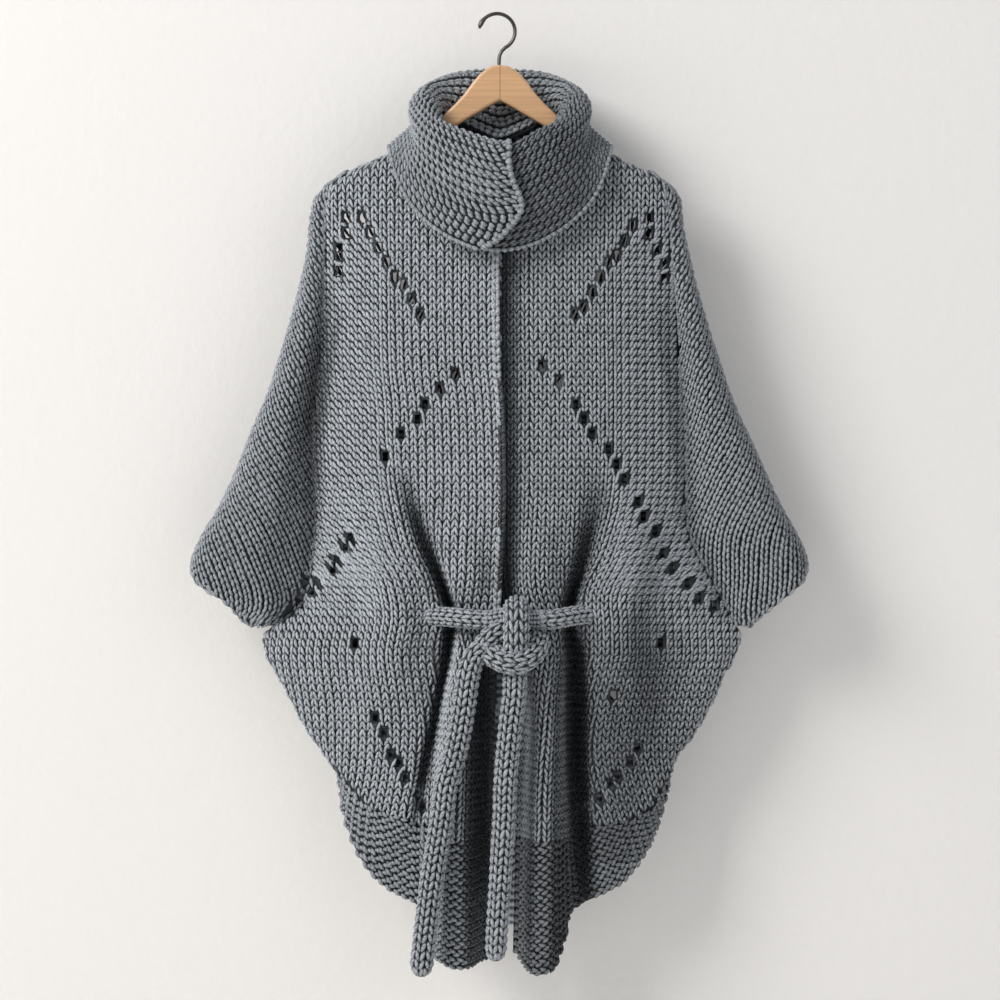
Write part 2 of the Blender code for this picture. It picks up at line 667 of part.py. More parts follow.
def cut_belt_slit(front, side):
    """The slit that lets the belt through a front: a cutter that follows the belt with some clearance."""
    low, high = WAIST_SLITS[0 if side is RIGHT else 1]
    path = [
        place for place in smooth_route(WAIST_ROUTE, 6.0)
        if low < place.x * side["sign"] < high and place.y < -20
    ]
    bm = bmesh.new()
    rings = []
    for k, place in enumerate(path):
        ahead = (path[min(k + 1, len(path) - 1)] - path[max(k - 1, 0)]).normalized()
        aside = ahead.cross(Vector((0, 0, 1))).normalized()
        radius = BELT_RADIUS + SLIT_CLEARANCE
        ring = []
        for turn in range(12):
            angle = math.tau * (turn + 0.5) / 12
            offset = aside * math.cos(angle) + aside.cross(ahead) * math.sin(angle)
            ring.append(bm.verts.new(placed(*(place + offset * radius))))
        rings.append(ring)
    for ring, following in zip(rings, rings[1:]):
        for turn in range(12):
            bm.faces.new((ring[turn], ring[turn - 1], following[turn - 1], following[turn]))
    bm.faces.new(rings[0])
    bm.faces.new(rings[-1])
    cutter = mesh_object(f"slit_cutter_{front.name}", bm, front.data.materials[0])
    cutter.hide_render = True
    cutter.display_type = "WIRE"
    slit = front.modifiers.new("belt_slit", "BOOLEAN")
    slit.operation = "DIFFERENCE"
    slit.object = cutter


def make_belt():
    """The waist cord, its two hanging ends and the knot."""
    tube_object("belt_waist", route_in_metres(WAIST_ROUTE, 17), BELT_RADIUS, knit("belt_waist"))
    tube_object("belt_tail_right", route_in_metres(TAIL_RIGHT_ROUTE, 26), TAIL_RADIUS, knit("belt_tail_right"))
    tube_object("belt_tail_left", route_in_metres(TAIL_LEFT_ROUTE, 26), TAIL_RADIUS, knit("belt_tail_left"))
    bm = bmesh.new()
    bmesh.ops.create_cube(bm, size=1.0)
    bmesh.ops.scale(bm, vec=[side * MM for side in KNOT_SIZE], verts=bm.verts)
    bmesh.ops.translate(bm, vec=placed(*KNOT_CENTRE), verts=bm.verts)
    knot = mesh_object("belt_knot", bm, knit("belt_knot"))
    rounding = knot.modifiers.new("rounding", "BEVEL")
    rounding.width = KNOT_BEVEL * MM
    rounding.segments = 3


# ---- the hanger ----


def make_hanger():
    """The wood's outline, extruded and rounded, and the wire hook whose crest is the origin."""
    right = [(CENTRE_X + reach, top) for reach, top, _ in WOOD_STATIONS]
    left = [(CENTRE_X - reach, top) for reach, top, _ in WOOD_STATIONS[:0:-1]]
    under_right = [(CENTRE_X + reach, bottom) for reach, _, bottom in WOOD_STATIONS[::-1]]
    under_left = [(CENTRE_X - reach, bottom) for reach, _, bottom in WOOD_STATIONS[1:]]
    bm = bmesh.new()
    ring = [
        bm.verts.new((x * MM, -WOOD_THICKNESS * MM / 2, z * MM))
        for x, z in left + right + under_right + under_left
    ]
    front = bm.faces.new(ring)
    extruded = bmesh.ops.extrude_face_region(bm, geom=[front])["geom"]
    bmesh.ops.translate(
        bm, vec=(0, WOOD_THICKNESS * MM, 0), verts=[v for v in extruded if isinstance(v, bmesh.types.BMVert)]
    )
    wood = mesh_object("hanger_body", bm, material("beech", (0.60, 0.36, 0.19), 0.45))
    edges = wood.modifiers.new("rounded_edges", "BEVEL")
    edges.width = WOOD_ROUNDING * MM
    edges.segments = 2
    edges.limit_method = "ANGLE"
    edges.angle_limit = math.radians(50)

    centre_z = HOOK_WIRE_RADIUS - HOOK_BOW_RADIUS
    path = []
    for k in range(HOOK_BOW_STEPS + 1):
        angle = math.radians(lerp(HOOK_TIP_ANGLE, HOOK_BOW_END_ANGLE, k / HOOK_BOW_STEPS))
        path.append((HOOK_BOW_RADIUS * math.cos(angle), 0, centre_z + HOOK_BOW_RADIUS * math.sin(angle)))
    path += [(x, 0, z) for x, z in HOOK_NECK]
    route = [place * MM for place in smooth_route(path, 4.0)]
    tube_object(
        "hanger_hook", route, HOOK_WIRE_RADIUS, material("dark_wire", (0.10, 0.09, 0.08), 0.4, 0.9), HOOK_TIP_SWELL
    )


def main():
    """Builds every node."""
    for old in list(bpy.data.objects):
        bpy.data.objects.remove(old, do_unlink=True)
    make_fronts()
    make_back()
    make_collar()
    make_belt()
    make_hanger()


main()
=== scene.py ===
"""A chunky hand-knitted poncho sweater hung on a wooden hanger, stitch by stitch."""

import logging
import math
from collections.abc import Callable
from dataclasses import dataclass, field
from enum import Enum

import bpy
import numpy as np
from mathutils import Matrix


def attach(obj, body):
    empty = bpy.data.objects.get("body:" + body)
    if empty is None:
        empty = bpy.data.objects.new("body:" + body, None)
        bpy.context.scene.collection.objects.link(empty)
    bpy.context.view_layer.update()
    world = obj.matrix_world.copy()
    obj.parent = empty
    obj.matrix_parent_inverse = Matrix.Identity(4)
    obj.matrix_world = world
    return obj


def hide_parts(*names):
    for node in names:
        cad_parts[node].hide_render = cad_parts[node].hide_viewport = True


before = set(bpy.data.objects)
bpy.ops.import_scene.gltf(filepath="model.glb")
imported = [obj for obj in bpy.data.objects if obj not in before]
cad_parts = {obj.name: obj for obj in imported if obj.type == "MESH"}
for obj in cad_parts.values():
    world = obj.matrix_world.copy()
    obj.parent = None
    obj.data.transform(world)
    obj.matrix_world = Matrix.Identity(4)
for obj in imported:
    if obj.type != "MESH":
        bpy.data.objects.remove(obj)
log = logging.getLogger("poncho")
Array = np.ndarray

# The cloth's own tables are in millimetres: x from the centre line, z from the neck's datum.
MM = 0.001
CENTRE_X = 3.5
DATUM_Z = -5.0

VALLEY_GAIN = 0.45
STITCH_WIDTH = 9.8
STITCH_HEIGHT = 8.8
GARTER_ROW = 4.7
GARTER_WIDTH = 9.6
ROUND_WIDTH = 30.0
LAP_STEP_WIDTH = 26.0
BELT_RADIUS = 10.0
TAIL_RADIUS = 13.0
BACK_DOME_POWER = 3.0
COLLAR_TURN = 200
COLLAR_LAP = 5.0
COLLAR_CLEARANCE = (8.5, 12.0)
COLLAR_CLEAR_STEP = 10.0
COLLAR_LAP_START = 140
COLLAR_AXIS_Y = -10.0
COLLAR_SEAT = (4.2, 7.5)
NECK_SIDE_Z = -116

RIGHT = {
    "sign": -1,
    "outline": (
        (-116, 76), (-129, 92), (-145, 109), (-163, 132), (-182, 179), (-200, 206), (-214, 218),
        (-235, 223), (-277, 227), (-327, 238), (-395, 257), (-460, 279), (-479, 288), (-530, 308),
        (-584, 333), (-617, 353), (-650, 365), (-662, 364), (-677, 348), (-695, 324), (-716, 304),
        (-731, 283), (-756, 277), (-783, 261), (-808, 248), (-844, 229), (-880, 203), (-894, 195),
        (-906, 191), (-990, 186),
    ),
    "seam": (
        (-182, 178), (-200, 199), (-235, 205), (-290, 208), (-355, 211), (-453, 220), (-480, 222),
        (-596, 217), (-660, 224), (-693, 234), (-731, 282),
    ),
    "edge": (
        (-199, 1), (-321, 1), (-408, 0), (-467, -5), (-565, -7), (-650, -3), (-705, 0),
        (-760, 5), (-850, 8), (-950, 11), (-1125, 14),
    ),
    "edge_depth": (
        (-199, 36), (-260, 42), (-650, 44), (-705, 42), (-722, 36), (-740, 26), (-780, 12), (-850, 6),
        (-950, 6), (-1125, 9),
    ),
    "flat_reach": -100,
    "dome_power": 4.0,
    "band_top": ((0, -971), (55, -971), (87, -959), (109, -950), (135, -942), (153, -935), (195, -888)),
    "hem": (
        (0, -1112), (14, -1116), (45, -1121), (70, -1114), (86, -1090), (94, -1056), (101, -1047),
        (123, -1037), (146, -1020), (168, -991), (185, -947), (192, -904),
    ),
    "folds": {
        "slit_valley": (
            (-520, 110, 26, 0), (-580, 100, 24, -8), (-630, 84, 20, -14), (-670, 68, 17, -20),
            (-709, 58, 16, -26), (-750, 60, 16, -20), (-820, 72, 16, -12), (-900, 88, 18, -8),
            (-980, 100, 18, 0),
        ),
        "lap_crest": ((-560, 42, 34, 0), (-620, 40, 34, 6), (-665, 38, 32, 11), (-700, 36, 28, 0)),
        "hanging_roll": (
            (-715, 40, 24, 0), (-760, 46, 26, 12), (-820, 48, 28, 24), (-900, 50, 30, 32),
            (-1000, 52, 32, 34), (-1125, 50, 34, 30),
        ),
        "hip_crest": (
            (-560, 150, 50, 0), (-650, 135, 48, 8), (-720, 125, 46, 12), (-800, 140, 50, 8),
            (-900, 150, 50, 0),
        ),
    },
}
LEFT = {
    "sign": 1,
    "outline": (
        (-116, 76), (-129, 92), (-145, 109), (-163, 132), (-182, 175), (-194, 194), (-214, 212),
        (-238, 214), (-293, 225), (-342, 238), (-395, 254), (-461, 277), (-479, 285), (-522, 305),
        (-577, 330), (-619, 353), (-650, 364), (-660, 362), (-674, 353), (-695, 329), (-716, 302),
        (-731, 288), (-760, 277), (-783, 265), (-820, 247), (-853, 228), (-883, 206), (-894, 204),
        (-908, 200), (-990, 192),
    ),
    "seam": (
        (-182, 174), (-200, 192), (-235, 199), (-290, 204), (-350, 210), (-478, 218), (-596, 221),
        (-674, 255), (-731, 287),
    ),
    "edge": (
        (-199, -22), (-650, -22), (-690, -18), (-712, -8), (-760, 14), (-850, 23), (-950, 19),
        (-1125, 15),
    ),
    "edge_depth": (
        (-199, 26), (-260, 32), (-650, 32), (-690, 31), (-705, 27), (-722, 20), (-740, 14), (-850, 6),
        (-950, 6), (-1125, 9),
    ),
    "flat_reach": 12,
    "dome_power": 2.4,
    "band_top": ((0, -971), (79, -971), (104, -956), (127, -956), (152, -950), (176, -937), (204, -888)),
    "hem": (
        (0, -1100), (15, -1106), (40, -1128), (60, -1124), (76, -1090), (84, -1058), (104, -1046),
        (143, -1026), (168, -997), (186, -957), (196, -928), (200, -905),
    ),
    "folds": {
        "slit_valley": (
            (-520, 122, 28, 0), (-580, 112, 26, -6), (-640, 98, 22, -14), (-707, 82, 17, -26),
            (-760, 88, 22, -28), (-850, 88, 24, -28), (-950, 92, 25, -18), (-1030, 98, 22, -8),
            (-1090, 100, 18, 0),
        ),
        "lap_crest": ((-560, 50, 34, 0), (-630, 48, 34, 6), (-675, 46, 30, 8), (-700, 44, 28, 0)),
        "hanging_roll": (
            (-715, 52, 26, 0), (-760, 52, 28, 14), (-820, 52, 30, 26), (-900, 51, 31, 33),
            (-1000, 50, 32, 35), (-1130, 48, 34, 31),
        ),
        "hip_crest": (
            (-560, 160, 50, 0), (-650, 150, 46, 8), (-720, 140, 42, 12), (-800, 150, 46, 8),
            (-900, 160, 50, 0),
        ),
    },
}
FRONT_DEPTH = {
    "body": (
        (-116, 8), (-135, 16), (-155, 25), (-199, 36), (-260, 42), (-350, 42), (-450, 40),
        (-650, 42), (-705, 42), (-800, 36), (-900, 33), (-1000, 30), (-1130, 30),
    ),
    "seam": ((-200, 22), (-300, 16), (-420, 11), (-640, 10), (-731, 8), (-800, 10), (-1130, 14)),
    "sleeve": ((-200, 23), (-300, 30), (-450, 36), (-600, 36), (-700, 26), (-731, 14)),
}
BACK_DEPTH = {
    "body": (
        (-116, 8), (-135, 16), (-155, 24), (-200, 28), (-300, 27), (-500, 26), (-730, 25),
        (-900, 25), (-1085, 27),
    ),
    "seam": ((-200, 20), (-300, 16), (-420, 14), (-640, 14), (-731, 12), (-800, 12), (-1085, 16)),
    "sleeve": ((-200, 21), (-300, 24), (-450, 27), (-600, 27), (-700, 22), (-731, 13)),
}
BACK_FOLDS = {
    "spine_crest": (
        (-260, 6, 46, 0), (-420, 2, 44, 5), (-640, -4, 42, 7), (-900, 6, 44, 8), (-1085, 8, 46, 8),
    ),
    "right_valley": ((-330, -84, 38, 0), (-520, -80, 36, -5), (-760, -90, 40, -6), (-1060, -92, 44, -7)),
    "left_valley": ((-300, 96, 40, 0), (-600, 88, 38, -6), (-820, 82, 36, -5), (-1060, 90, 40, -7)),
    "right_crest": ((-420, -150, 44, 0), (-640, -146, 44, 5), (-880, -140, 40, 4), (-1000, -136, 40, 0)),
    "left_crest": ((-380, 158, 44, 0), (-560, 150, 44, 4), (-800, 146, 42, 6), (-1000, 140, 40, 0)),
}
BACK_BAND_TOP = ((0, -962), (100, -948), (150, -932), (198, -888))
BACK_HEM = ((0, -1085), (60, -1072), (100, -1042), (146, -1014), (170, -984), (186, -942), (196, -904))
SHOULDER_POINT_Z = -182
SLEEVE_END_Z = -721
UNDERARM_Z = -731
CUFF_TIP_Z = -656
NECK_FRONT_Z = -199
NECK_BACK_Z = -150
COLLAR_SECTIONS = (
    (0, 0, 52, -56, 25, 0, 66, -120, 0, 52, -228),
    (30, 42, 46, -58, 26, 50, 59, -118, 60, 50, -222),
    (60, 76, 26, -72, 29, 88, 33, -120, 112, 41, -190),
    (90, 89, -6, -89, 31, 102, -6, -126, 130, -6, -145),
    (115, 80, -44, -123, 29, 99, -48, -158, 121, -47, -195),
    (145, 50, -68, -141, 26, 73, -72, -188, 89, -56, -240),
    (165, 23, -76, -155, 24, 36, -85, -208, 50, -64, -268),
    (180, 0, -79, -165, 23, 0, -88, -216, 2, -66, -286),
)
COLLAR_OVER_END = ((0, 192), (0.35, 188), (0.5, 186), (0.75, 191), (0.9, 183), (1, 176))
WAIST_ROUTE = (
    (-10.7, -67, -712), (-20, -67, -712), (-34, -66, -711), (-48, -61, -710), (-62, -50, -709),
    (-76, -39, -709), (-96, -31, -709), (-120, -25, -709), (-138, -16, -709), (-145, -4, -710),
    (-134, 3, -711), (-100, 4, -712), (-50, 4, -712), (0, 4, -712), (60, 4, -712), (118, 4, -711),
    (146, 3, -710), (157, -5, -709), (152, -16, -708), (138, -24, -707), (118, -28, -707),
    (100, -37, -707), (86, -50, -708), (72, -60, -710), (60, -66, -712), (51, -67, -712),
    (42.7, -67, -712),
)
TAIL_RIGHT_ROUTE = (
    (-10.8, -83, -744), (-18, -83, -744), (-27, -84, -749), (-34, -85, -762), (-38, -85, -782),
    (-43, -85, -819), (-52, -84, -867), (-63, -83, -903), (-67, -82, -937), (-80, -82, -1020),
    (-91, -80, -1112), (-92, -80, -1126),
)
TAIL_LEFT_ROUTE = (
    (17, -83, -780.6), (17, -83, -794), (11, -83, -845), (6, -82, -903), (5, -81, -937),
    (0, -81, -1018), (-5, -80, -1098), (-5, -80, -1108),
)


def lerp(first: Array, last: Array, share: Array) -> Array:
    """The value a share of the way from first to last."""
    return first + (last - first) * share


def ease(share: Array) -> Array:
    """0 to 1 with level ends."""
    share = np.clip(share, 0.0, 1.0)
    return share * share * (3 - 2 * share)


def placed(x: Array, y: Array, z: Array) -> Array:
    """Metres in the part's frame, from the cloth's own millimetres, as rows of x, y and z."""
    x, y, z = np.broadcast_arrays(np.asarray(x, float), y, z)
    return np.stack([(CENTRE_X + x) * MM, y * MM, (DATUM_Z + z) * MM], axis=-1)


def run_along(points: Array) -> Array:
    """The distance of each point along a run of points, from 0 at the first."""
    return np.concatenate([[0.0], np.cumsum(np.linalg.norm(np.diff(points, axis=0), axis=1))])


def even_points(points: Array, count: int) -> Array:
    """A count of points at even distances along a run of points."""
    run = run_along(points)
    even = np.linspace(0, run[-1], count)
    return np.stack([np.interp(even, run, points[:, k]) for k in range(points.shape[1])], axis=-1)


def unit(vectors: Array) -> Array:
    """Vectors of length one."""
    return vectors / np.maximum(np.linalg.norm(vectors, axis=-1, keepdims=True), 1e-9)


class Curve:
    """A smooth curve through a table's rows, with no overshoot."""

    def __init__(self, rows: tuple, column: int = 1) -> None:
        """Keeps the keys rising and the tangents of the curve.

        Args:
            rows: The table's rows, whose first column is the key.
            column: The column that holds the value.
        """
        keys = np.array([row[0] for row in rows], float)
        values = np.array([row[column] for row in rows], float)
        self.flip = -1.0 if keys[0] > keys[-1] else 1.0
        self.keys, self.values = keys * self.flip, values
        slopes = np.diff(values) / np.diff(self.keys)
        before, after = slopes[:-1], slopes[1:]
        product = before * after
        total = np.where(product > 0, before + after, 1.0)
        inner = np.where(product > 0, 2 * product / total, 0.0)
        self.tangents = np.concatenate([slopes[:1], inner, slopes[-1:]])

    def at(self, place: Array) -> Array:
        """The values at an array of places."""
        place = np.clip(np.asarray(place, float) * self.flip, self.keys[0], self.keys[-1])
        i = np.clip(np.searchsorted(self.keys, place, side="right") - 1, 0, len(self.keys) - 2)
        span = self.keys[i + 1] - self.keys[i]
        t = (place - self.keys[i]) / span
        return (
            (1 + 2 * t) * (1 - t) ** 2 * self.values[i]
            + t * (1 - t) ** 2 * span * self.tangents[i]
            + t * t * (3 - 2 * t) * self.values[i + 1]
            + t * t * (t - 1) * span * self.tangents[i + 1]
        )

    def covers(self, place: Array) -> Array:
        """Whether each place lies between the first key and the last."""
        place = np.asarray(place, float) * self.flip
        return (place >= self.keys[0]) & (place <= self.keys[-1])


class Fold:
    """A crest or a valley that runs down the cloth, from rows of (z, reach, half width, rise)."""

    def __init__(self, rows: tuple) -> None:
        """Keeps the fold's line, half width and rise as curves."""
        self.line, self.half, self.height = (Curve(rows, column) for column in (1, 2, 3))

    def rise(self, x: Array, z: Array) -> Array:
        """How far the fold lifts the cloth at each place."""
        away = np.abs(x - self.line.at(z)) / self.half.at(z)
        bell = np.where(away < 1, np.cos(np.minimum(away, 1) * math.pi / 2) ** 2, 0.0)
        return np.where(self.line.covers(z), self.height.at(z) * bell, 0.0)


class Side:
    """One half of the garment's hanging outline."""

    def __init__(self, table: dict) -> None:
        """Reads the table of a side."""
        self.sign: int = table["sign"]
        self.outline, self.seam = Curve(table["outline"]), Curve(table["seam"])
        self.edge, self.edge_depth = Curve(table["edge"]), Curve(table["edge_depth"])
        self.flat_reach: float = table["flat_reach"]
        self.dome_power: float = table["dome_power"]
        self.band_top, self.hem = Curve(table["band_top"]), Curve(table["hem"])
        self.folds = [Fold(rows) for rows in table["folds"].values()]

    def panel_reach(self, z: Array) -> Array:
        """Where a body panel ends: the sleeve's seam beside the arm, or else the outline."""
        beside = (z >= UNDERARM_Z) & (z <= SHOULDER_POINT_Z)
        return np.where(beside, self.seam.at(z), self.outline.at(z))


class WallForm:
    """The dome of a wall and its valley at the sleeve's seam."""

    def __init__(self, table: dict) -> None:
        """Reads a table of depths."""
        self.body, self.seam, self.sleeve = (Curve(table[key]) for key in ("body", "seam", "sleeve"))

    def depth(self, side: Side, power: float, reach: Array, z: Array) -> tuple[Array, Array]:
        """The wall's depth, and how far it rounds back at the outline.

        Args:
            side: The side of the outline.
            power: How flat the dome's top is.
            reach: Distances out from the centre line.
            z: Heights.

        Returns:
            Depths, and factors from 0 on the closed outline to 1 inside.
        """
        outline, limit = side.outline.at(z), side.panel_reach(z)
        seam = self.seam.at(z)
        body = lerp(seam, self.body.at(z), 1 - np.clip(reach / limit, 0.0, None) ** power)
        share = (reach - limit) / np.maximum(outline - limit, 1e-6)
        sleeve = lerp(seam, self.sleeve.at(z), ease(share / 0.55))
        near = np.clip((reach - outline) / ROUND_WIDTH + 1, 0.0, 1.0)
        rounding = lerp(np.sqrt(1 - near * near), 1.0, cuff_gape(z))
        return np.where(reach <= limit, body, sleeve), rounding


def cuff_gape(z: Array) -> Array:
    """How far the cuff stands open: 0 at the sleeve's tip and the underarm, 1 between them."""
    share = np.clip((CUFF_TIP_Z - z) / (CUFF_TIP_Z - UNDERARM_Z), 0.0, 1.0)
    return np.clip(np.sin(math.pi * share), 0.0, 1.0) ** 0.7


SIDES = {-1: Side(RIGHT), 1: Side(LEFT)}
# Painted shade on the left hip, which turns away from the light: (z, reach, half width, share of light lost).
HIP_SHADE = Fold(((-690, 165, 90, 0.0), (-770, 165, 95, 0.42), (-880, 150, 90, 0.42), (-1000, 140, 70, 0.2)))
# Painted shade between the belt's ends, where the cloth lies in a deep fold.
GAP_SHADE = Fold(((-740, -24, 26, 0.0), (-790, -25, 27, 0.9), (-950, -26, 27, 0.9), (-1040, -26, 24, 0.3)))
FRONT_FORM = WallForm(FRONT_DEPTH)
BACK_FORM = WallForm(BACK_DEPTH)
SPINE_FOLDS = [Fold(rows) for rows in BACK_FOLDS.values()]


def front_depth(side: Side, reach: Array, z: Array) -> Array:
    """How far a front stands towards the viewer."""
    depth, rounding = FRONT_FORM.depth(side, side.dome_power, reach, z)
    depth = depth + sum(fold.rise(reach, z) for fold in side.folds)
    depth = depth + sum(np.minimum(fold.rise(reach, z), 0.0) for fold in side.folds) * VALLEY_GAIN
    flat_end = np.maximum(side.edge.at(z), side.flat_reach)
    return lerp(side.edge_depth.at(z), depth, ease((reach - flat_end) / LAP_STEP_WIDTH)) * rounding


def back_depth(x: Array, z: Array) -> Array:
    """How far the back stands away from the viewer."""
    x, z = np.broadcast_arrays(np.asarray(x, float), np.asarray(z, float))
    halves = []
    for side in SIDES.values():
        depth, rounding = BACK_FORM.depth(side, BACK_DOME_POWER, np.abs(x), z)
        halves.append((depth + sum(fold.rise(x, z) for fold in SPINE_FOLDS)) * rounding)
    return np.where(x > 0, halves[1], halves[0])


# The painted shade looks for higher cloth at these distances on either side, in millimetres, and fades out
# over this width inside the outline.
VALLEY_STEPS = (7, 14, 24, 38)
OUTLINE_FADE = 60.0


def painted_light_share(x: Array, z: Array) -> Array:
    """The share of light that painted shade leaves on the front at each place: 1 on a crest, less in a
    valley, on the left hip and between the belt's ends.
    """

    def stands(x: Array) -> Array:
        """The fronts' depth on either side of the centre line."""
        return np.where(x < 0, front_depth(SIDES[-1], -x, z), front_depth(SIDES[1], x, z))

    here = stands(x)
    left, right = (
        np.clip(np.max([(stands(x + sign * away) - here) / away for away in VALLEY_STEPS], axis=0), 0, 1.1)
        for sign in (-1, 1)
    )
    outline = np.where(x < 0, SIDES[-1].outline.at(z), SIDES[1].outline.at(z))
    inner = np.clip((outline - np.abs(x)) / OUTLINE_FADE, 0.0, 1.0)
    closed = np.clip(left - 0.1, 0, 1) * 0.55 + np.clip(np.minimum(left, right) * 0.9, 0, 0.6)
    shaded = np.maximum(np.where(x > 0, HIP_SHADE.rise(x, z), 0.0), GAP_SHADE.rise(x, z))
    return (1 - np.clip(closed * inner, 0.0, 0.92)) * (1 - shaded)


@dataclass(frozen=True)
class Face:
    """A front on one side, or the back, as a surface over x and z in millimetres."""

    forward: bool
    side: Side | None = None

    def out(self, x: Array, z: Array, lift: float = 0.0) -> Array:
        """Points in metres, lifted off the cloth's middle by some millimetres."""
        points = self.flat(x, z)
        return points + self.normal(x, z) * (lift * MM) if lift else points

    def flat(self, x: Array, z: Array) -> Array:
        """Points in metres on the cloth's middle."""
        x, z = np.broadcast_arrays(np.asarray(x, float), np.asarray(z, float))
        if self.forward:
            return placed(x, -front_depth(self.side, x * self.side.sign, z), z)
        return placed(x, back_depth(x, z), z)

    def normal(self, x: Array, z: Array) -> Array:
        """Unit normals that face out of the garment."""
        across = self.flat(x + 1.5, z) - self.flat(x - 1.5, z)
        along = self.flat(x, z - 1.5) - self.flat(x, z + 1.5)
        normal = unit(np.cross(across, along))
        facing = -1.0 if self.forward else 1.0
        return normal * np.sign(normal[..., 1:2] * facing + 1e-12)


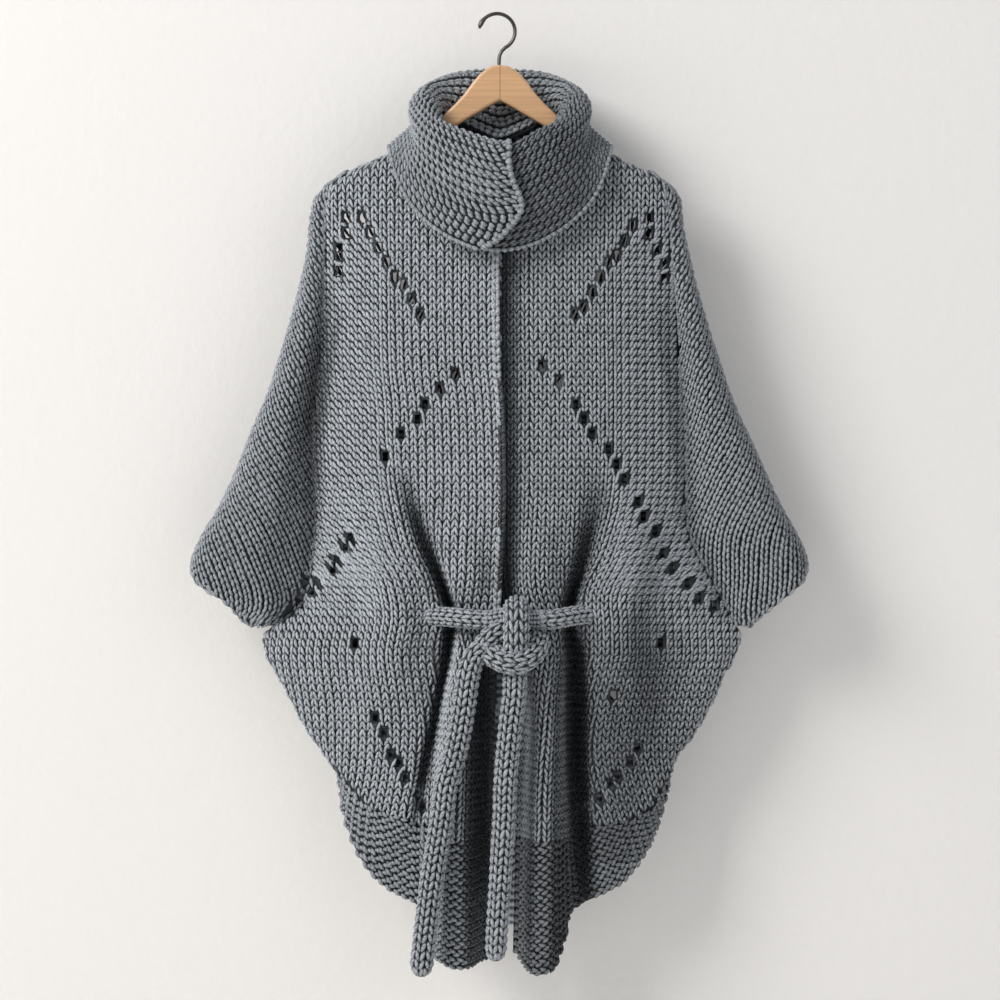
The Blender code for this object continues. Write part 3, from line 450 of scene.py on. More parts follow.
@dataclass
class Yarn:
    """Heaps of plump yarn bumps and plain cloth, gathered into one mesh."""

    points: list[Array] = field(default_factory=list)
    uvs: list[Array] = field(default_factory=list)
    tone_and_shade_values: list[Array] = field(default_factory=list)
    crest_light_and_shade: list[Array] = field(default_factory=list)
    quads: list[Array] = field(default_factory=list)
    triangles: list[Array] = field(default_factory=list)
    count: int = 0

    def add(self, points: Array, uvs: Array, tone_and_shade_values: Array, quads: Array, triangles: Array,
            crest_light_and_shade: Array | None = None) -> None:
        """Adds vertices with their yarn coordinates, colour factors and painted highlight and shade, and the
        faces between them.
        """
        # A vertex without crest values takes the darkest colours, as painted shade.
        plain = np.zeros(points.reshape(-1, 3).shape[0])
        self.crest_light_and_shade.append(plain if crest_light_and_shade is None else crest_light_and_shade.reshape(-1))
        self.points.append(points.reshape(-1, 3))
        self.uvs.append(uvs.reshape(-1, 2))
        self.tone_and_shade_values.append(tone_and_shade_values.reshape(-1))
        self.quads.append(quads.reshape(-1, 4) + self.count)
        self.triangles.append(triangles.reshape(-1, 3) + self.count)
        self.count += points.reshape(-1, 3).shape[0]

    def bumps(self, start: Array, end: Array, normal: Array, width: Array | float, height: float, lift: float,
              shade: Array, around: int = 5, sway: float = 0.0, light: Array | float = 1.0) -> None:
        """Adds one closed, plump length of yarn for each pair of ends, painted lighter on its top and darker
        on its flanks and ends.

        Args:
            start: Where each bump rises from the cloth, in metres.
            end: Where it dives back.
            normal: The cloth's unit normals there.
            width: The bump's width in millimetres.
            height: Its thickness in millimetres.
            lift: How far its middle stands above its ends, in millimetres.
            shade: A random number for each bump that varies its colour.
            around: How many sides its section has.
            sway: How far its middle bows sideways, in millimetres.
            light: The share of light that painted shade leaves on each bump, from 0 to 1; it darkens the
                bump's colour.
        """
        shares = np.array([0.2, 0.5, 0.8])
        swell = np.array([0.74, 1.0, 0.66])
        along = unit(end - start)
        aside = unit(np.cross(along, normal))
        turns = math.tau * (np.arange(around) + 0.5) / around - math.pi / 2
        many = len(start)
        width = np.broadcast_to(width, many)[:, None, None]
        light = np.broadcast_to(light, many)
        rings = []
        for share, size in zip(shares, swell):
            rise = math.sin(math.pi * share)
            centre = lerp(start, end, share) + normal * (lift * rise * MM) + aside * (sway * rise * MM)
            ring = (
                centre[:, None]
                + aside[:, None] * (np.cos(turns) * size * MM / 2)[None, :, None] * width
                + normal[:, None] * (np.sin(turns) * height / 2 * size * MM)[None, :, None]
            )
            rings.append(ring)
        points = np.concatenate([start[:, None], *rings, end[:, None]], axis=1)
        per = 2 + 3 * around
        column = np.arange(around) / around
        u = np.concatenate([[0.0], np.repeat(shares, around), [1.0]])
        v = np.concatenate([[0.5], np.tile(column, 3), [0.5]])
        uvs = np.broadcast_to(np.stack([u, v], axis=-1), (many, per, 2)) + shade[:, None, None] * 7.0
        here = np.arange(around)
        there = (here + 1) % around
        quads = [
            np.stack([1 + k * around + here, 1 + k * around + there,
                      1 + (k + 1) * around + there, 1 + (k + 1) * around + here], axis=-1)
            for k in range(2)
        ]
        last = 1 + 2 * around
        caps = [
            np.stack([np.zeros_like(here), 1 + there, 1 + here], axis=-1),
            np.stack([np.full_like(here, per - 1), last + here, last + there], axis=-1),
        ]
        offsets = (np.arange(many) * per)[:, None, None]
        # Painted highlight and shade: high on each bump's outward top, low on its flanks and ends, lower
        # still where painted shade leaves less light; the colour factor is that light share times a random
        # factor.
        ridge = (np.sin(turns) + 1) / 2
        crest = np.concatenate([[0.25], *[ridge * (0.55 + 0.45 * size) for size in swell], [0.2]])
        self.add(
            points, uvs, np.repeat(light * (0.84 + 0.16 * shade), per),
            np.concatenate(quads)[None] + offsets, np.concatenate(caps)[None] + offsets,
            crest[None] * (0.35 + 0.65 * light[:, None]),
        )

    def sheet(self, grid: Array, keep: Array | None = None, shade: float = 0.5, closed: bool = False) -> None:
        """Adds a plain sheet through a grid of points in metres, which takes the darkest colours as painted
        shade.

        Args:
            grid: The points, by row and column.
            keep: Which cells stay; a cell that doesn't is a hole.
            shade: Its colour factor, which darkens it further as painted shade.
            closed: Whether its last column meets its first.
        """
        rows, columns = grid.shape[:2]
        index = np.arange(rows * columns).reshape(rows, columns)
        if closed:
            index = np.concatenate([index, index[:, :1]], axis=1)
        quads = np.stack([index[:-1, :-1], index[1:, :-1], index[1:, 1:], index[:-1, 1:]], axis=-1)
        quads = quads.reshape(-1, 4) if keep is None else quads[keep]
        uvs = np.stack(np.meshgrid(np.arange(columns), np.arange(rows)), axis=-1) * 0.05
        self.add(grid, uvs, np.full(rows * columns, shade), quads, np.zeros((0, 3), int))

    def mesh(self, name: str) -> bpy.types.Object:
        """The gathered yarn as one smooth object at the origin."""
        quads, triangles = np.concatenate(self.quads), np.concatenate(self.triangles)
        points = np.concatenate(self.points)
        corners = np.concatenate([quads.ravel(), triangles.ravel()]).astype(np.int32)
        sizes = np.concatenate([np.full(len(quads), 4), np.full(len(triangles), 3)])
        mesh = bpy.data.meshes.new(name)
        mesh.vertices.add(len(points))
        mesh.vertices.foreach_set("co", points.astype(np.float32).ravel())
        mesh.loops.add(len(corners))
        mesh.loops.foreach_set("vertex_index", corners)
        mesh.polygons.add(len(sizes))
        mesh.polygons.foreach_set("loop_start", np.concatenate([[0], np.cumsum(sizes)[:-1]]).astype(np.int32))
        mesh.polygons.foreach_set("use_smooth", np.ones(len(sizes), bool))
        layer = mesh.uv_layers.new(name="yarn")
        layer.data.foreach_set("uv", np.concatenate(self.uvs)[corners].astype(np.float32).ravel())
        # The first attribute is a colour factor that carries painted shade and random variation; the crest
        # attribute carries the painted highlight on each bump's top and the painted shade on its flanks and
        # on plain cloth.
        tone_and_shade = mesh.attributes.new("tone_and_shade", "FLOAT", "POINT")
        tone_and_shade.data.foreach_set("value", np.concatenate(self.tone_and_shade_values).astype(np.float32))
        crest = mesh.attributes.new("crest", "FLOAT", "POINT")
        crest.data.foreach_set("value", np.concatenate(self.crest_light_and_shade).astype(np.float32))
        mesh.update(calc_edges=True)
        mesh.validate()
        piece = bpy.data.objects.new(name, mesh)
        bpy.context.scene.collection.objects.link(piece)
        log.info("%s: %d triangles", name, 2 * len(quads) + len(triangles))
        return piece


class Shading:
    """A procedural material in the making."""

    def __init__(self, name: str, surface: dict) -> None:
        """Starts a material.

        Args:
            name: The material's name.
            surface: Values for the inputs of its surface shader.
        """
        self.material = bpy.data.materials.new(name)
        self.material.use_nodes = True
        self.tree = self.material.node_tree
        self.surface = self.fill(self.tree.nodes["Principled BSDF"], surface)

    def fill(self, node: bpy.types.Node, sockets: dict) -> bpy.types.Node:
        """Links or sets a node's inputs, by name or number."""
        for key, item in sockets.items():
            if isinstance(item, bpy.types.NodeSocket):
                self.tree.links.new(item, node.inputs[key])
            else:
                node.inputs[key].default_value = item
        return node

    def node(self, kind: str, sockets: dict | None = None) -> bpy.types.Node:
        """A new node with its inputs filled."""
        return self.fill(self.tree.nodes.new(kind), sockets or {})

    def value(self, operation: str, first: object, second: object) -> bpy.types.NodeSocket:
        """A Math node's output, from sockets or numbers."""
        node = self.node("ShaderNodeMath", {0: first, 1: second})
        node.operation = operation
        return node.outputs[0]

    def attribute(self, key: str) -> bpy.types.NodeSocket:
        """A number that the yarn's mesh carries."""
        node = self.node("ShaderNodeAttribute")
        node.attribute_name = key
        return node.outputs["Fac"]

    def noise(
        self, scale: float, detail: float, vector: bpy.types.NodeSocket, distortion: float = 0.0
    ) -> bpy.types.NodeSocket:
        """A noise at a scale."""
        sockets = {"Vector": vector, "Scale": scale, "Detail": detail, "Distortion": distortion}
        return self.node("ShaderNodeTexNoise", sockets).outputs["Fac"]

    def ramp(self, blend: bpy.types.NodeSocket, stops: tuple) -> bpy.types.NodeSocket:
        """A colour ramp's output, from stops of (position, colour)."""
        node = self.node("ShaderNodeValToRGB", {"Fac": blend})
        elements = node.color_ramp.elements
        for _ in stops[2:]:
            elements.new(0.5)
        for element, (position, colour) in zip(elements, stops):
            element.position = position
            element.color = (*colour, 1)
        return node.outputs["Color"]

    def relief(self, height: bpy.types.NodeSocket, strength: float, distance: float) -> None:
        """Raises the surface's grain by a height."""
        bump = self.node("ShaderNodeBump", {"Height": height, "Strength": strength, "Distance": distance})
        self.fill(self.surface, {"Normal": bump.outputs["Normal"]})


@dataclass(frozen=True)
class YarnFinish:
    """Marled blue-grey wool: two plies, one lighter, twisted together, with loose fibres, and with painted
    highlight and shade on the yarn.
    """

    # The ramp's deep end is near black, reached as painted shade; its light end is reached on the bumps' tops
    # as painted highlight.
    deep: tuple[float, float, float] = (0.014, 0.016, 0.018)
    middle: tuple[float, float, float] = (0.101, 0.114, 0.127)
    light: tuple[float, float, float] = (0.55, 0.59, 0.63)
    plies: float = 1.6
    roughness: float = 0.80
    sheen: float = 0.30

    def material(self, name: str, brightness: float = 1.0, inside: bool = False) -> bpy.types.Material:
        """The wool as a procedural material on the yarn's own coordinates, with painted highlight and shade.

        Args:
            name: The material's name.
            brightness: A factor on its colours.
            inside: Whether it covers plain cloth, which then gets the rows of a knit's inner side, painted
                lighter on their tops and darker between them.

        Returns:
            The material.
        """
        shading = Shading(name, {
            "Roughness": self.roughness, "Specular IOR Level": 0.3, "Sheen Weight": self.sheen,
            "Sheen Roughness": 0.4, "Sheen Tint": (0.66, 0.72, 0.80, 1),
        })
        value = shading.value
        place = shading.node("ShaderNodeTexCoord").outputs
        uv = shading.node("ShaderNodeSeparateXYZ", {0: place["UV"]}).outputs
        twist = value("ADD", value("MULTIPLY", uv[0], self.plies), uv[1])
        strand = value("SINE", value("MULTIPLY", twist, math.tau * 2), 0.0)
        drawn = shading.node(
            "ShaderNodeCombineXYZ", {"X": value("MULTIPLY", uv[0], 2.2), "Y": value("MULTIPLY", twist, 6.0)}
        )
        fibres = shading.noise(1.0, 2.0, drawn.outputs[0])
        heather = shading.noise(55.0, 2.0, place["Object"])
        fuzz = shading.noise(900.0, 2.0, place["Object"])
        # Painted highlight and shade: the crest value lightens the colour on the bumps' tops and darkens it
        # on their flanks, or on plain inner cloth along the knit's rows.
        if inside:
            spot = shading.node("ShaderNodeSeparateXYZ", {0: place["Object"]}).outputs
            rows = value("SINE", value("MULTIPLY", spot[2], math.tau / (STITCH_HEIGHT * MM)), 0.0)
            wales = value("SINE", value("MULTIPLY", spot[0], math.tau / (STITCH_WIDTH * MM)), 0.0)
            crest = value("ADD", value("MULTIPLY", rows, 0.34), value("MULTIPLY", wales, 0.16))
            crest = value("ADD", crest, 0.5)
            tone_and_shade = 1.0
        else:
            crest = shading.attribute("crest")
            tone_and_shade = value("ADD", value("MULTIPLY", shading.attribute("tone_and_shade"), 0.9), 0.1)
        blend = value("MULTIPLY", crest, 0.40)
        for part, weight in ((strand, 0.07), (fibres, 0.88), (heather, 0.10), (fuzz, 0.14)):
            blend = value("ADD", blend, value("MULTIPLY", part, weight))
        colours = [
            [channel * brightness for channel in wool] for wool in (self.deep, self.middle, self.light)
        ]
        dyed = shading.ramp(value("MULTIPLY", blend, 0.98), tuple(zip((0.38, 0.66, 0.90), colours)))
        # The colour is scaled by the mesh's colour factor, painted shade included.
        toned = shading.node("ShaderNodeVectorMath", {0: dyed})
        toned.operation = "SCALE"
        shading.fill(toned, {"Scale": tone_and_shade})
        shading.fill(shading.surface, {"Base Color": toned.outputs[0]})
        relief = value("ADD", value("MULTIPLY", strand, 0.35), value("MULTIPLY", fibres, 1.6))
        relief = value("ADD", relief, value("MULTIPLY", crest, 2.0)) if inside else relief
        shading.relief(value("ADD", relief, value("MULTIPLY", fuzz, 0.5)), 0.5, 0.0006)
        return shading.material


RANDOM = np.random.default_rng(7)
EYELET_PUSH = (4.8, 7.2)
PROUD_LIFT = 1.2
BASE_LIFT = 0.4
EYELET_SIZE = (3.5, 5.8)
# Towards the sleeves the fronts' stitches turn and lie parallel, from this reach over this width.
SLANT_FROM = 112
SLANT_WIDTH = 50
SLANT_TURN = 29.0

# Lace eyelets: for each run its count, whether the wall shows through, and (x, z) along it.
EYELET_RUNS = (
    (8, True, ((-159, -243), (-144, -270), (-127, -301), (-98, -352))),
    (5, True, ((-178, -242), (-186, -272), (-191, -303))),
    (8, True, ((152, -249), (129, -289), (111, -323), (93, -356))),
    (5, True, ((172, -238), (186, -268), (197, -312))),
    (2, True, ((-52, -425), (-71, -440))),
    (4, False, ((-85, -456), (-99, -474), (-131, -518))),
    (8, False, ((-175, -613), (-199, -655), (-232, -684), (-249, -701))),
    (2, True, ((50, -419), (68, -435))),
    (14, False, ((85, -456), (114, -497), (144, -540), (170, -583), (194, -637), (225, -675), (254, -698))),
    (1, False, ((-169, -737),)),
    (1, False, ((186, -743),)),
    (7, False, ((-142, -833), (-127, -872), (-107, -908), (-88, -933))),
    (1, True, ((137, -799),)),
    (6, False, ((160, -863), (139, -899), (117, -926), (105, -938))),
)


def along_run(places: tuple, count: int) -> Array:
    """A count of places at even distances along a run of (x, z)."""
    route = np.array(places, float)
    if count == 1:
        return route[:1]
    return even_points(route, count)


FRONT_EYELETS = np.concatenate([along_run(places, count) for count, _, places in EYELET_RUNS])
PALE = np.concatenate([np.full(count, pale) for count, pale, _ in EYELET_RUNS])
# The back's eyelets lie a little further out than the front's, so that both line up from the front.
SIGHT_CENTRE = np.array([0.0, -572.0])
SIGHT_SPREAD = 1.0145


def eyelet_nearness(x: Array, z: Array, eyelets: Array) -> tuple[Array, Array, Array]:
    """How near each place lies to its nearest eyelet, in eyelet radii, and the way from it."""
    best = np.full(np.shape(x), 99.0)
    away_x, away_z = np.zeros(np.shape(x)), np.zeros(np.shape(x))
    for eye_x, eye_z in eyelets:
        step_x, step_z = x - eye_x, z - eye_z
        radii = np.hypot(step_x / EYELET_PUSH[0], step_z / EYELET_PUSH[1])
        nearer = radii < best
        best = np.where(nearer, radii, best)
        away_x, away_z = np.where(nearer, step_x, away_x), np.where(nearer, step_z, away_z)
    return best, away_x, away_z


def drawn_round(x: Array, z: Array, eyelets: Array) -> tuple[Array, Array]:
    """Places moved aside by the eyelets, as the yarn is."""
    radii, away_x, away_z = eyelet_nearness(x, z, eyelets)
    push = np.where(radii < 1.8, (1 + radii * 0.8 / 1.8) / np.maximum(radii, 0.25) - 1, 0.0)
    return x + away_x * push, z + away_z * push


class ClothMap:
    """Distances measured over the cloth: finds x from a distance along a row at a height."""

    STEP_Z = 4.0
    STEP_S = 2.0
    SAMPLES = 220

    def __init__(self, face: Face, first: Callable, last: Callable, top: float, bottom: float) -> None:
        """Measures each row.

        Args:
            face: The surface.
            first: x at which a row starts, by height.
            last: x at which it ends.
            top: The highest row.
            bottom: The lowest row.
        """
        self.face, self.top = face, top
        self.heights = np.arange(top, bottom - self.STEP_Z, -self.STEP_Z)
        share = np.linspace(0, 1, self.SAMPLES)[None, :]
        z = self.heights[:, None] + share * 0
        start, end = first(self.heights)[:, None], last(self.heights)[:, None]
        x = lerp(start, end, share)
        flat = face.flat(x, z) / MM
        steps = np.linalg.norm(np.diff(flat, axis=1), axis=-1)
        run = np.concatenate([np.zeros((len(z), 1)), np.cumsum(steps, axis=1)], axis=1)
        self.lengths = run[:, -1]
        self.grid_s = np.arange(0, self.lengths.max() + 4 * self.STEP_S, self.STEP_S)
        self.grid = np.stack([np.interp(self.grid_s, r, xs) for r, xs in zip(run, x)])

    def length(self, z: Array) -> Array:
        """The length over the cloth of the row at a height."""
        return np.interp(-np.asarray(z, float), -self.heights, self.lengths)

    def x_at(self, s: Array, z: Array) -> Array:
        """x at a distance along the row at a height."""
        row = np.clip((self.top - z) / self.STEP_Z, 0, len(self.heights) - 1.001)
        column = np.clip(s / self.STEP_S, 0, len(self.grid_s) - 1.001)
        j, i = row.astype(int), column.astype(int)
        v, u = row - j, column - i
        upper = lerp(self.grid[j, i], self.grid[j, i + 1], u)
        lower = lerp(self.grid[j + 1, i], self.grid[j + 1, i + 1], u)
        return lerp(upper, lower, v)


class Stitch(Enum):
    """The stitches that the maker uses."""

    STOCKING = "stocking"
    GARTER = "garter"


@dataclass
class KnitPiece:
    """One knitted piece: a thin cloth with holes, and its stitches in relief on the outside."""

    name: str
    face: Face
    first: Callable
    last: Callable
    top: Callable
    bottom: Callable
    span: tuple[float, float]
    flat: tuple[float, float]
    area: float
    rests_on: tuple[str, ...]
    stitch: Stitch = Stitch.STOCKING
    slant: float = 0.0
    around: int = 5
    eyelets: Array = field(default_factory=lambda: FRONT_EYELETS)
    cell: float = 5.5
    eyelet_scale: float = 0.95
    wall: float = 2.4
    # A factor on the piece's colours; on the left front and the left hem band it is painted shade.
    tone_and_shade: float = 1.0
    edged: bool = False

    def build(self, finish: YarnFinish) -> None:
        self.map = ClothMap(self.face, self.first, self.last, self.span[0], self.span[1])
        if self.stitch is Stitch.STOCKING and self.face.forward:
            self.settle_eyelets()
        wool = finish.material(f"{self.name}_wool", self.tone_and_shade)
        cloth = self.cloth(finish)
        yarn = Yarn()
        if self.stitch is Stitch.STOCKING:
            self.stocking(yarn)
            if self.edged:
                self.chain(yarn)
        else:
            self.garter(yarn)
        stitches = yarn.mesh(f"{self.name}_stitches")
        stitches.data.materials.append(wool)
        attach(cloth, "root")
        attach(stitches, "root")
        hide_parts(self.name)
        list(self.rests_on)

    def inside(self, x: Array, z: Array, s: Array, margin: float = 0.0) -> Array:
        """Whether each place lies on the piece."""
        length = self.map.length(z)
        reach = np.abs(x)
        share = np.clip(s / np.maximum(length, 1), 0, 1)
        return (
            (s >= margin) & (s <= length - margin)
            & (z <= self.top(x, share) + 0.5) & (z >= self.bottom(reach, x))
        )

    def cloth(self, finish: YarnFinish) -> bpy.types.Object:
        """The plain cloth below the stitches, with an opening at each eyelet, dark outside as painted shade
        between the stitches and brightened inside as painted light.
        """
        columns = max(4, round(float(self.map.lengths.max()) / self.cell))
        share = np.linspace(0, 1, columns + 1)
        top_z = np.full(columns + 1, self.span[0])
        bottom_z = np.full(columns + 1, self.span[1])
        for _ in range(6):
            x_top = self.map.x_at(share * self.map.length(top_z), top_z)
            top_z = np.minimum(self.top(x_top, share), self.span[0])
            x_bottom = self.map.x_at(share * self.map.length(bottom_z), bottom_z)
            bottom_z = np.maximum(self.bottom(np.abs(x_bottom), x_bottom), self.span[1])
        rows = max(4, round(float((top_z - bottom_z).max()) / self.cell))
        z = lerp(top_z[None, :], bottom_z[None, :], np.linspace(0, 1, rows + 1)[:, None])
        s = share[None, :] * self.map.length(z)
        x = self.map.x_at(s, z)
        keep = self.open_eyelets(x, z)
        yarn = Yarn()
        yarn.sheet(self.face.out(x, z, BASE_LIFT), keep=keep, shade=0.7)
        cloth = yarn.mesh(f"{self.name}_cloth")
        # Painted shade and light: the outer face is darkened to stand for the shade between the stitches, and
        # the inner face is brightened 1.5 times for the shade inside the garment.
        cloth.data.materials.append(finish.material(f"{self.name}_shade", 0.8 * self.tone_and_shade))
        cloth.data.materials.append(finish.material(f"{self.name}_inside", 1.5 * self.tone_and_shade, inside=True))
        self.turn_outwards(cloth)
        wall = cloth.modifiers.new("wall", "SOLIDIFY")
        wall.thickness = self.wall * MM
        wall.offset = -1.0
        wall.material_offset = 1
        return cloth

    def open_eyelets(self, x: Array, z: Array) -> Array:
        """Shapes the cell nearest to each eyelet to it, in place, and says which cells stay."""
        keep = np.ones((x.shape[0] - 1, x.shape[1] - 1), bool)
        middle_x = (x[:-1, :-1] + x[1:, 1:]) / 2
        middle_z = (z[:-1, :-1] + z[1:, 1:]) / 2
        for eye_x, eye_z in self.eyelets:
            away = np.hypot(middle_x - eye_x, middle_z - eye_z)
            j, i = np.unravel_index(np.argmin(away), away.shape)
            if away[j, i] > self.cell:
                continue
            keep[j, i] = False
            for dj in (0, 1):
                for di in (0, 1):
                    toward_x = np.sign(x[j + dj, i + di] - middle_x[j, i])
                    toward_z = np.sign(z[j + dj, i + di] - middle_z[j, i])
                    x[j + dj, i + di] = eye_x + toward_x * EYELET_SIZE[0] * self.eyelet_scale
                    z[j + dj, i + di] = eye_z + toward_z * EYELET_SIZE[1] * self.eyelet_scale
        return keep

    def turn_outwards(self, cloth: bpy.types.Object) -> None:
        """Turns the faces the way the face looks."""
        facing = -1.0 if self.face.forward else 1.0
        total = sum(polygon.normal.y * polygon.area for polygon in cloth.data.polygons)
        if total * facing < 0:
            cloth.data.flip_normals()

    def stocking(self, yarn: Yarn) -> None:
        """Columns of V stitches, straight or slanted."""
        s, z = self.lattice()
        x = self.map.x_at(s, z)
        radii, _, _ = eyelet_nearness(x, z, self.eyelets)
        keep = self.inside(x, z, s, 0.5 if self.slant == 0 else -3.0) & (radii > 0.5)
        s, z, x = s[keep], z[keep], x[keep]
        outward = 1.0 if self.face.forward else np.sign(x)
        beside = ease((np.abs(x) - SLANT_FROM) / SLANT_WIDTH) * ease((z + 800) / 110) * ease((-215 - z) / 60)
        drawn = np.full(len(s), 0.75) if self.slant else beside
        turn = math.radians(self.slant) if self.slant else outward * math.radians(SLANT_TURN) * beside
        for arm in (-1, 1):
            wobble = RANDOM.normal(0, 0.3, (4, len(s)))
            ends = []
            for across, level, down in ((0.47, 0.29, -0.72), (0.04, 0.21, 0.78)):
                aside, drop = arm * STITCH_WIDTH * lerp(across, level, drawn), down * STITCH_HEIGHT
                ends.append((s + aside * np.cos(turn) - drop * np.sin(turn),
                             z - aside * np.sin(turn) - drop * np.cos(turn)))
            self.lay(yarn, ends[0], ends[1], wobble, lerp(3.8, 4.5, drawn), 4.4, 1.7, arm * 0.3)

    def lattice(self) -> tuple[Array, Array]:
        """The stitches' places: distances along the rows, and heights."""
        turn = math.radians(self.slant)
        down = np.array([-math.sin(turn), -math.cos(turn)])
        across = np.array([math.cos(turn), -math.sin(turn)])
        reach_s = float(self.map.lengths.max()) + 40
        reach_z = self.span[0] - self.span[1] + 40
        many = int(math.hypot(reach_s, reach_z) / STITCH_HEIGHT) + 2
        i, j = np.meshgrid(np.arange(-many, many), np.arange(-many, many))
        if self.slant == 0:
            keep = (i >= 0) & (i * STITCH_WIDTH < reach_s) & (j >= 0)
            i, j = i[keep], j[keep]
        s = (i + 0.5) * STITCH_WIDTH * across[0] + j * STITCH_HEIGHT * down[0]
        z = self.span[0] + i * STITCH_WIDTH * across[1] + j * STITCH_HEIGHT * down[1]
        keep = (s > -5) & (s < reach_s) & (z < self.span[0] + 5) & (z > self.span[1] - 5)
        return s[keep], z[keep]

    def lay(self, yarn: Yarn, starts: tuple, ends: tuple, wobble: Array, width: Array | float, height: float,
            lift: float, sway: float) -> None:
        """Lays a bump of yarn between each pair of places on the cloth."""
        points = []
        for (s, z), drift in ((starts, wobble[:2]), (ends, wobble[2:])):
            limit = self.map.length(z)
            x = self.map.x_at(np.clip(s + drift[0], 0, limit), z)
            x, z = drawn_round(x, z + drift[1], self.eyelets)
            z = np.clip(z, self.bottom(np.abs(x), x) - 2.5, self.top(x, np.clip(s / limit, 0, 1)) + 1.5)
            points.append((x, z))
        (x0, z0), (x1, z1) = points
        middle_x, middle_z = (x0 + x1) / 2, (z0 + z1) / 2
        normal = self.face.normal(middle_x, middle_z)
        start = self.face.flat(x0, z0) + normal * (PROUD_LIFT * MM)
        end = self.face.flat(x1, z1) + normal * (PROUD_LIFT * 0.6 * MM)
        shade = RANDOM.random(len(x0))
        # Painted shade on the fronts: bumps in valleys, on the left hip and between the belt's ends are
        # darkened.
        light = painted_light_share(middle_x, middle_z) if self.face.forward else 1.0
        yarn.bumps(start, end, normal, width, height, lift, shade, self.around, sway, light)

    def settle_eyelets(self) -> None:
        """Moves each eyelet to the stitch that makes it."""
        s, z = self.lattice()
        x = self.map.x_at(s, z)
        fits = self.inside(x, z, s, 2.0)
        x, z = x[fits], z[fits]
        settled = self.eyelets.copy()
        for k, (eye_x, eye_z) in enumerate(self.eyelets):
            away = np.hypot(x - eye_x, z - eye_z)
            nearest = int(np.argmin(away))
            if away[nearest] < STITCH_WIDTH:
                settled[k] = x[nearest], z[nearest]
        self.eyelets = settled

    def chain(self, yarn: Yarn) -> None:
        """A proud chain of stitches down the piece's first edge."""
        z = np.arange(self.span[0] - 88, self.span[1] + 4, -9.2)
        z = z[z > self.bottom(np.abs(self.map.x_at(z * 0, z)), z * 0) + 4]
        for inset, turn in ((1.4, 1.8), (5.6, -1.8)):
            wobble = RANDOM.normal(0, 0.3, (4, len(z)))
            s = np.full(len(z), inset)
            self.lay(yarn, (s - turn, z + 6.2), (s + turn, z - 6.2), wobble, 5.4, 5.4, 3.4, 0.5)

    def garter(self, yarn: Yarn) -> None:
        """Rows of bowed bumps that follow the lower edge."""
        length = float(self.map.lengths.max())
        rows = int((self.span[0] - self.span[1]) / GARTER_ROW) + 1
        k, i = np.meshgrid(np.arange(rows), np.arange(int(length / GARTER_WIDTH) + 1), indexing="ij")
        s = (i + 0.5 + 0.5 * (k % 2)) * GARTER_WIDTH
        z = np.full(s.shape, (self.span[0] + self.span[1]) / 2)
        for _ in range(4):
            x = self.map.x_at(s, z)
            z = self.bottom(np.abs(x), x) + (k + 0.4) * GARTER_ROW
        keep = self.inside(x, z, s, 1.0)
        s, z, k = s[keep], z[keep], k[keep]
        slope = np.zeros(len(s))
        for reach, sign in ((2.0, 1), (-2.0, -1)):
            x = self.map.x_at(s + reach, z)
            slope += sign * self.bottom(np.abs(x), x) / 4
        slope = np.clip(slope, -1.2, 1.2)
        wobble = RANDOM.normal(0, 0.4, (4, len(s)))
        half = GARTER_WIDTH * 0.55 / np.sqrt(1 + slope * slope)
        for odd in (0, 1):
            pick = k % 2 == odd
            tilt = 1.9 if odd else -1.9
            self.lay(
                yarn, ((s - half)[pick], (z - slope * half + tilt)[pick]),
                ((s + half)[pick], (z + slope * half - tilt)[pick]),
                wobble[:, pick], 5.2, 5.2, 2.3 if odd else 1.7, 0.5 if odd else -0.5,
            )


def seen_behind(pieces: list[KnitPiece]) -> Array:
    """The back's eyelets, each in line with a pale one of the fronts."""
    places = [
        SIGHT_CENTRE + SIGHT_SPREAD * (piece.eyelets[PALE & (piece.eyelets[:, 0] * piece.face.side.sign > 0)]
                                       - SIGHT_CENTRE)
        for piece in pieces
    ]
    return np.concatenate(places)


def on_side(sign: int, reach: Callable) -> Callable:
    """x by height, from a reach by height on one side."""
    return lambda z: sign * reach(z)


def upper(curve: Curve) -> Callable:
    """A piece's upper edge, from a curve by reach."""
    return lambda x, share: curve.at(np.abs(x))


def lower(curve: Curve) -> Callable:
    """A piece's lower edge, from a curve by reach."""
    return lambda reach, x: curve.at(reach)


def level(height: float) -> Callable:
    """An edge at one height."""
    return lambda place, other: np.full(np.shape(place), float(height))


def front_neck(x: Array, share: Array) -> Array:
    """The front neckline's height."""
    return lerp(NECK_FRONT_Z, NECK_SIDE_Z, share)


def back_neck(x: Array, share: Array) -> Array:
    """The back neckline's height."""
    return lerp(NECK_BACK_Z, NECK_SIDE_Z, np.abs(2 * share - 1))


